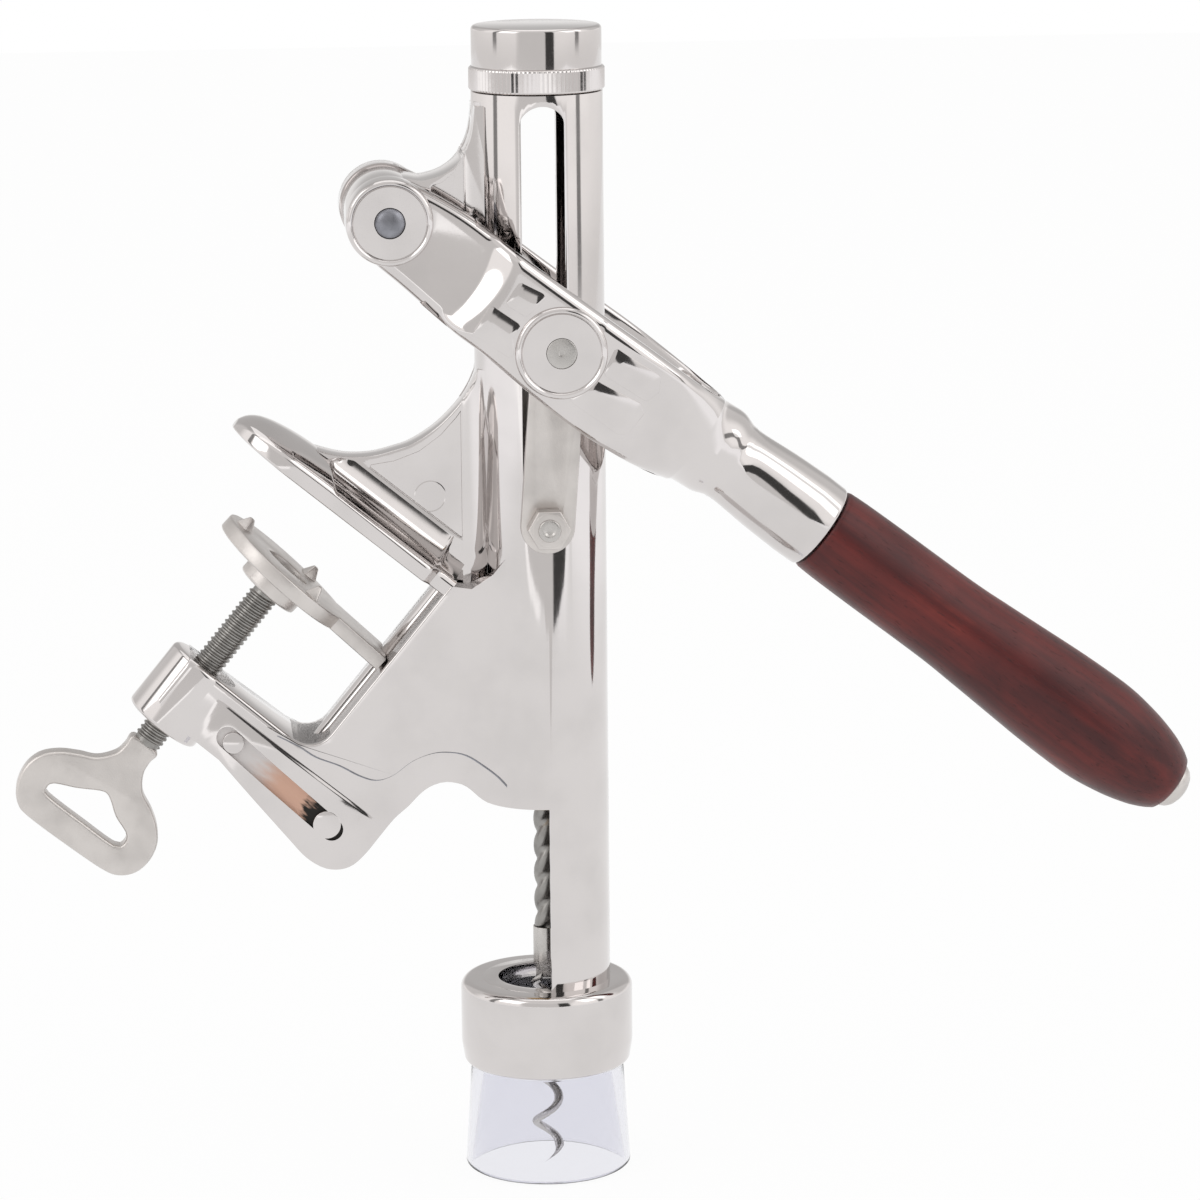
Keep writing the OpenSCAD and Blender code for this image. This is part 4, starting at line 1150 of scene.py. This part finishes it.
class CORKSCREW_OT_worm(bpy.types.Operator):
    """Model the fast spindle and the worm"""

    bl_idname = "corkscrew.worm"
    bl_label = "Spindle and worm"

    def execute(self, context):
        foot, top = 62.4, 164.5
        bar = place(screw_bar(spindle_section(foot), foot, top, SPINDLE_LEAD, 36),
                    Matrix.Rotation(FULL_TURN * foot / SPINDLE_LEAD, 4, "Z"))
        head = turned([(0, 164.3, 0), (3.1, 164.3, 0), (3.1, 168.3, 0), (8.0, 168.3, 0.3), (8.0, 171.7, 0.3),
                       (0, 171.7, 0)], 64, 2)
        make_piece("spindle_bar", place(joined(bar, head), BARREL), "spindle_body", "grey_steel",
                   ("spindle",), 45)
        sleeve = turned([(3.13, 55.7, 0), (3.45, 55.7, 0.2), (3.45, 66.3, 0.25), (3.13, 66.3, 0)], 64, 3)
        core = turned([(0, 55.7, 0), (3.2, 55.7, 0), (3.2, 62.1, 0), (0, 62.1, 0)], 64, 1)
        make_piece("worm_collar", place(joined(sleeve, core), BARREL), "spindle_body", "turned_steel",
                   ("collar",), 40)
        wire = [(WORM_R + 1.24 * math.cos(a), 0.30 * math.sin(a), 5.6 + 1.35 * math.sin(a))
                for a in [FULL_TURN * k / 14 for k in range(14)]]
        coil = screw_bar(wire, 5.6, 52.6, WORM_LEAD, 30)
        tip = worm_point(wire, 5.6, 2.8)
        shank = turned([(0, 51.9, 0), (2.85, 51.9, 0.8), (2.85, 55.8, 0), (0, 55.8, 0)], 48, 4)
        make_piece("worm_wire", place(joined(coil, tip, shank), BARREL), "spindle_body", "turned_steel",
                   ("worm",), 45)
        return {"FINISHED"}


def clamp_pad():
    """Pad with its forked tongue, hub and blunt teeth; it sits loose on the screw and hangs a little."""
    start = math.asin(10.0 / 20.4)
    disc = arc_points(0, 0, 20.4, start, FULL_TURN - start, 60)
    fork = arc_points(RAIL_T, 0, RAIL_R + 0.5, math.radians(229), math.radians(131), 8)
    outline = disc + [(34.3, -10.0)] + fork + [(34.3, 10.0)]
    pad = place(plate(outline, 2.0, 0.5, (circle_points(0, 0, 6.7, 48),), 3),
                Matrix.Translation((0, 0, -22.4)) @ Matrix.Rotation(-QUARTER, 4, "X"))
    hub = turned([(3.5, -29.2, 0), (8.9, -29.2, 0.8), (8.9, -24.2, 0), (3.5, -24.2, 0)], 64, 4)
    parts = [pad, hub]
    for k in range(3):
        tooth = bmesh.new()
        bmesh.ops.create_cone(tooth, cap_ends=True, segments=4, radius1=3.0, radius2=0.9, depth=3.4)
        bevelled(tooth, 0.35, 30, 3)
        parts.append(place(tooth, Matrix.Rotation(math.radians(60 + 120 * k), 4, "Z")
                           @ Matrix.Translation((15.6, 0, -18.9))))
    seat = Matrix.Translation((0, 0, -26))
    return place(joined(*parts), seat @ Matrix.Rotation(math.radians(4.0), 4, "Y") @ seat.inverted())


# The key's outline and hole, across the counter and along the clamp screw.
KEY_OUTLINE = [(-4.3, -84.5), (-4.9, -87.6), (-8.0, -91.6), (-12.6, -93.9), (-17.0, -96.6),
               (-20.4, -100.4), (-21.5, -105.2), (-20.2, -110.6), (-16.8, -114.4), (-12.4, -115.5),
               (0, -115.5), (11.8, -115.0), (16.4, -113.6), (19.4, -110.2), (20.3, -105.6),
               (19.2, -100.8), (16.4, -97.2), (12.4, -94.4), (7.6, -92.0), (4.6, -88.0), (3.9, -84.5),
               (3.7, -81.0), (-3.9, -81.0)]
KEY_HOLE = [(-12.6, -104.2), (-7.1, -101.5), (-2.2, -98.6), (0, -97.9), (2.2, -98.9), (5.8, -101.4),
            (10.6, -103.3), (11.9, -105.4), (10.4, -107.7), (0, -107.9), (-11.7, -107.7),
            (-13.4, -106.2)]


class CORKSCREW_OT_clamp(bpy.types.Operator):
    """Model the clamp pad, the threaded screw and the key"""

    bl_idname = "corkscrew.clamp"
    bl_label = "Clamp"

    def execute(self, context):
        pitch = context.scene.corkscrew_sizes.pitch / MM
        make_piece("pad", place(clamp_pad(), CLAMP), "pad_body", "satin_nickel", ("clamp_pad",), 35)

        rod = turned([(0, -89, 0), (3.0, -89, 0), (3.0, -81, 0), (3.45, -81, 0), (3.45, -29.35, 0),
                      (3.0, -29.35, 0), (3.0, -22.85, 0.3), (0, -22.85, 0)], 64, 2)
        ridge = [(3.3, 0, -80.9), (3.98, 0, -80.35), (3.98, 0, -80.1), (3.3, 0, -79.55)]
        thread = screw_bar(ridge, -80.9, -31.0, pitch, 28)
        make_piece("screw_thread", place(joined(rod, thread), CLAMP), "screw_body", "grey_steel",
                   ("clamp_screw",), 25)

        outer = curve_through(KEY_OUTLINE, 0.7, True)
        hole = curve_through(KEY_HOLE, 0.7, True)
        key = plate(outer, 3.0, 1.5, (hole,), 5)
        make_piece("key", place(key, CLAMP), "screw_body", "satin_nickel", ("clamp_key",), 40)
        return {"FINISHED"}


# The photograph's view, fitted to the cap, the ring, the slot and the pivots. Lengths are in millimetres.
CAMERA_AZIMUTH, CAMERA_ELEVATION = math.radians(-5.470), math.radians(11.633)
CAMERA_ROLL = math.radians(0.504)
CAMERA_TARGET = (69.8, 0, -27.43)
CAMERA_AWAY = 1290.3
# Lamps: name, place in metres, width of the square in metres, and power in watts.
LAMPS = (("key_left", (-1.1, -0.7, 0.9), 0.9, 2.5), ("key_right", (1.2, -0.5, 0.8), 0.9, 2.0),
         ("top", (0.1, 0.2, 1.4), 1.2, 3.0))


def studio_world(strength):
    """White to the camera; light and reflections get a soft surround with dark strips between its cards."""
    world = bpy.data.worlds.new("studio")
    bpy.context.scene.world = world
    world.use_nodes = True
    net = Net(world.node_tree)
    x, y, z = net.split(net.node("ShaderNodeTexCoord").outputs["Generated"])
    toward = x * math.sin(CAMERA_AZIMUTH) - y * math.cos(CAMERA_AZIMUTH)
    side = x * math.cos(CAMERA_AZIMUTH) + y * math.sin(CAMERA_AZIMUTH)
    # Degrees round the corkscrew from the photograph's side, positive to the right.
    bearing = side._math("ARCTAN2", toward) * (180 / math.pi)
    away = abs(bearing)
    front = z.step(-0.32, -0.27) * (1 - z.step(0.50, 0.70))
    dim_card = bearing.step(-37, -32) * (1 - bearing.step(16, 17.5)) * front
    dark_strip = bearing.step(16, 17.5) * (1 - bearing.step(31, 33)) * front
    side_strips = away.step(72, 74) * (1 - away.step(80, 83)) * z.step(-0.05, 0.0)
    side_cards = abs(side).step(0.45, 0.60) * z.step(-0.1, 0.1) * (1 - z.step(0.70, 0.85))
    behind = away.step(95, 120) * z.step(0.0, 0.2)
    level = (strength + side_cards * 0.30) * (1 - behind * 0.35) * (1 - dim_card * 0.12)
    level = level * (1 - dark_strip * 0.93) * (1 - side_strips * 0.75)
    brightest = strength + 0.30
    dark = net.node("ShaderNodeBackground", {}, {"Color": (0, 0, 0, 1), "Strength": 1.0})
    glow = net.node("ShaderNodeBackground", {}, {"Color": (1.0, 0.985, 0.975, 1), "Strength": brightest})
    white = net.node("ShaderNodeBackground", {}, {"Color": (1, 1, 1, 1), "Strength": 1.0})
    surround = net.blend(level * (1 / brightest), dark, glow)
    seen = net.rays("Is Camera Ray", "Is Transmission Ray")
    net.finish(net.blend(seen, surround, white), "ShaderNodeOutputWorld")


def white_floor():
    """Pale floor that takes the shadow, is white to the camera, and reflects lighter to the sides."""
    material, net = new_material("white_floor")
    pale = net.node("ShaderNodeBsdfDiffuse", {}, {"Color": (0.86, 0.86, 0.86, 1)})
    x, y, _ = net.split(net.coords())
    sides = abs(x).step(0.45, 1.0) * (1 - y.step(0.6, 1.2))
    card = (1 - x.step(-0.16, -0.06)) * (1 - y.step(-1.5, -1.2))
    tone = net.mix(card, net.mix(sides, (0.714, 0.714, 0.714, 1), (0.86, 0.86, 0.87, 1)), (1, 1, 1, 1))
    glow = net.node("ShaderNodeEmission", {}, {"Color": tone, "Strength": 1.4})
    seen = net.rays("Is Camera Ray", "Is Transmission Ray", "Is Glossy Ray")
    net.finish(net.blend(seen * 0.95, pale, glow))
    return material


def photo_camera(lens):
    """Camera at the photograph's viewing angle."""
    az, el, roll = CAMERA_AZIMUTH, CAMERA_ELEVATION, CAMERA_ROLL
    back = Vector((math.sin(az) * math.cos(el), -math.cos(az) * math.cos(el), math.sin(el)))
    level = (-back).cross(Vector((0, 0, 1))).normalized()
    upright = level.cross(-back)
    right = level * math.cos(roll) - upright * math.sin(roll)
    up = level * math.sin(roll) + upright * math.cos(roll)
    camera = add_object("camera", bpy.data.cameras.new("camera"))
    camera.data.lens = lens
    camera.data.sensor_width = 36
    camera.data.clip_end = 20
    camera.matrix_world = (Matrix.Translation((Vector(CAMERA_TARGET) + back * CAMERA_AWAY) * MM)
                           @ Matrix((right, up, back)).transposed().to_4x4())
    bpy.context.scene.camera = camera


class CORKSCREW_OT_stage(bpy.types.Operator):
    """Set up the floor, light and camera"""

    bl_idname = "corkscrew.stage"
    bl_label = "Stage"

    def execute(self, context):
        studio = context.scene.corkscrew_studio
        studio_world(studio.world)
        bm = bmesh.new()
        bmesh.ops.create_grid(bm, x_segments=1, y_segments=1, size=3.0)
        bmesh.ops.translate(bm, vec=(0.05, 0.4, -JAW_Z * MM - 0.0004), verts=bm.verts)
        mesh = bpy.data.meshes.new("floor")
        bm.to_mesh(mesh)
        bm.free()
        mesh.materials.append(white_floor())
        add_object("floor", mesh)
        for name, spot, size, power in LAMPS:
            lamp = bpy.data.lights.new(name, "AREA")
            lamp.size = size
            lamp.energy = power
            obj = add_object(name, lamp)
            obj.location = spot
            obj.rotation_euler = (Vector((0.07, 0, -0.03)) - Vector(spot)).to_track_quat("-Z", "Y").to_euler()
        photo_camera(studio.lens)
        context.scene.view_settings.view_transform = "Standard"
        return {"FINISHED"}


class CORKSCREW_PT_panel(bpy.types.Panel):
    """Corkscrew sizes, finishes and steps"""

    bl_idname = "CORKSCREW_PT_panel"
    bl_label = "Corkscrew"
    bl_space_type = "VIEW_3D"
    bl_region_type = "UI"
    bl_category = "Corkscrew"

    def draw(self, context):
        scene = context.scene
        for group in (scene.corkscrew_sizes, scene.corkscrew_finish, scene.corkscrew_studio):
            for key in group.__annotations__:
                self.layout.prop(group, key)
        for operator in OPERATORS:
            self.layout.operator(operator.bl_idname)


OPERATORS = (CORKSCREW_OT_finishes, CORKSCREW_OT_casting, CORKSCREW_OT_cap, CORKSCREW_OT_bell,
             CORKSCREW_OT_lever, CORKSCREW_OT_pivot, CORKSCREW_OT_links, CORKSCREW_OT_worm,
             CORKSCREW_OT_clamp, CORKSCREW_OT_stage)
CLASSES = (CorkscrewFinish, CorkscrewSizes, CorkscrewStudio) + OPERATORS + (CORKSCREW_PT_panel,)


def register():
    for cls in CLASSES:
        bpy.utils.register_class(cls)
    bpy.types.Scene.corkscrew_finish = bpy.props.PointerProperty(type=CorkscrewFinish)
    bpy.types.Scene.corkscrew_sizes = bpy.props.PointerProperty(type=CorkscrewSizes)
    bpy.types.Scene.corkscrew_studio = bpy.props.PointerProperty(type=CorkscrewStudio)


def unregister():
    del bpy.types.Scene.corkscrew_studio
    del bpy.types.Scene.corkscrew_sizes
    del bpy.types.Scene.corkscrew_finish
    for cls in reversed(CLASSES):
        bpy.utils.unregister_class(cls)


def main():
    register()
    steps = bpy.ops.corkscrew
    steps.finishes()
    steps.casting()
    steps.cap()
    steps.bell()
    steps.lever()
    steps.pivot()
    steps.links()
    steps.worm()
    steps.clamp()
    steps.stage()


if __name__ == "__main__":
    main()
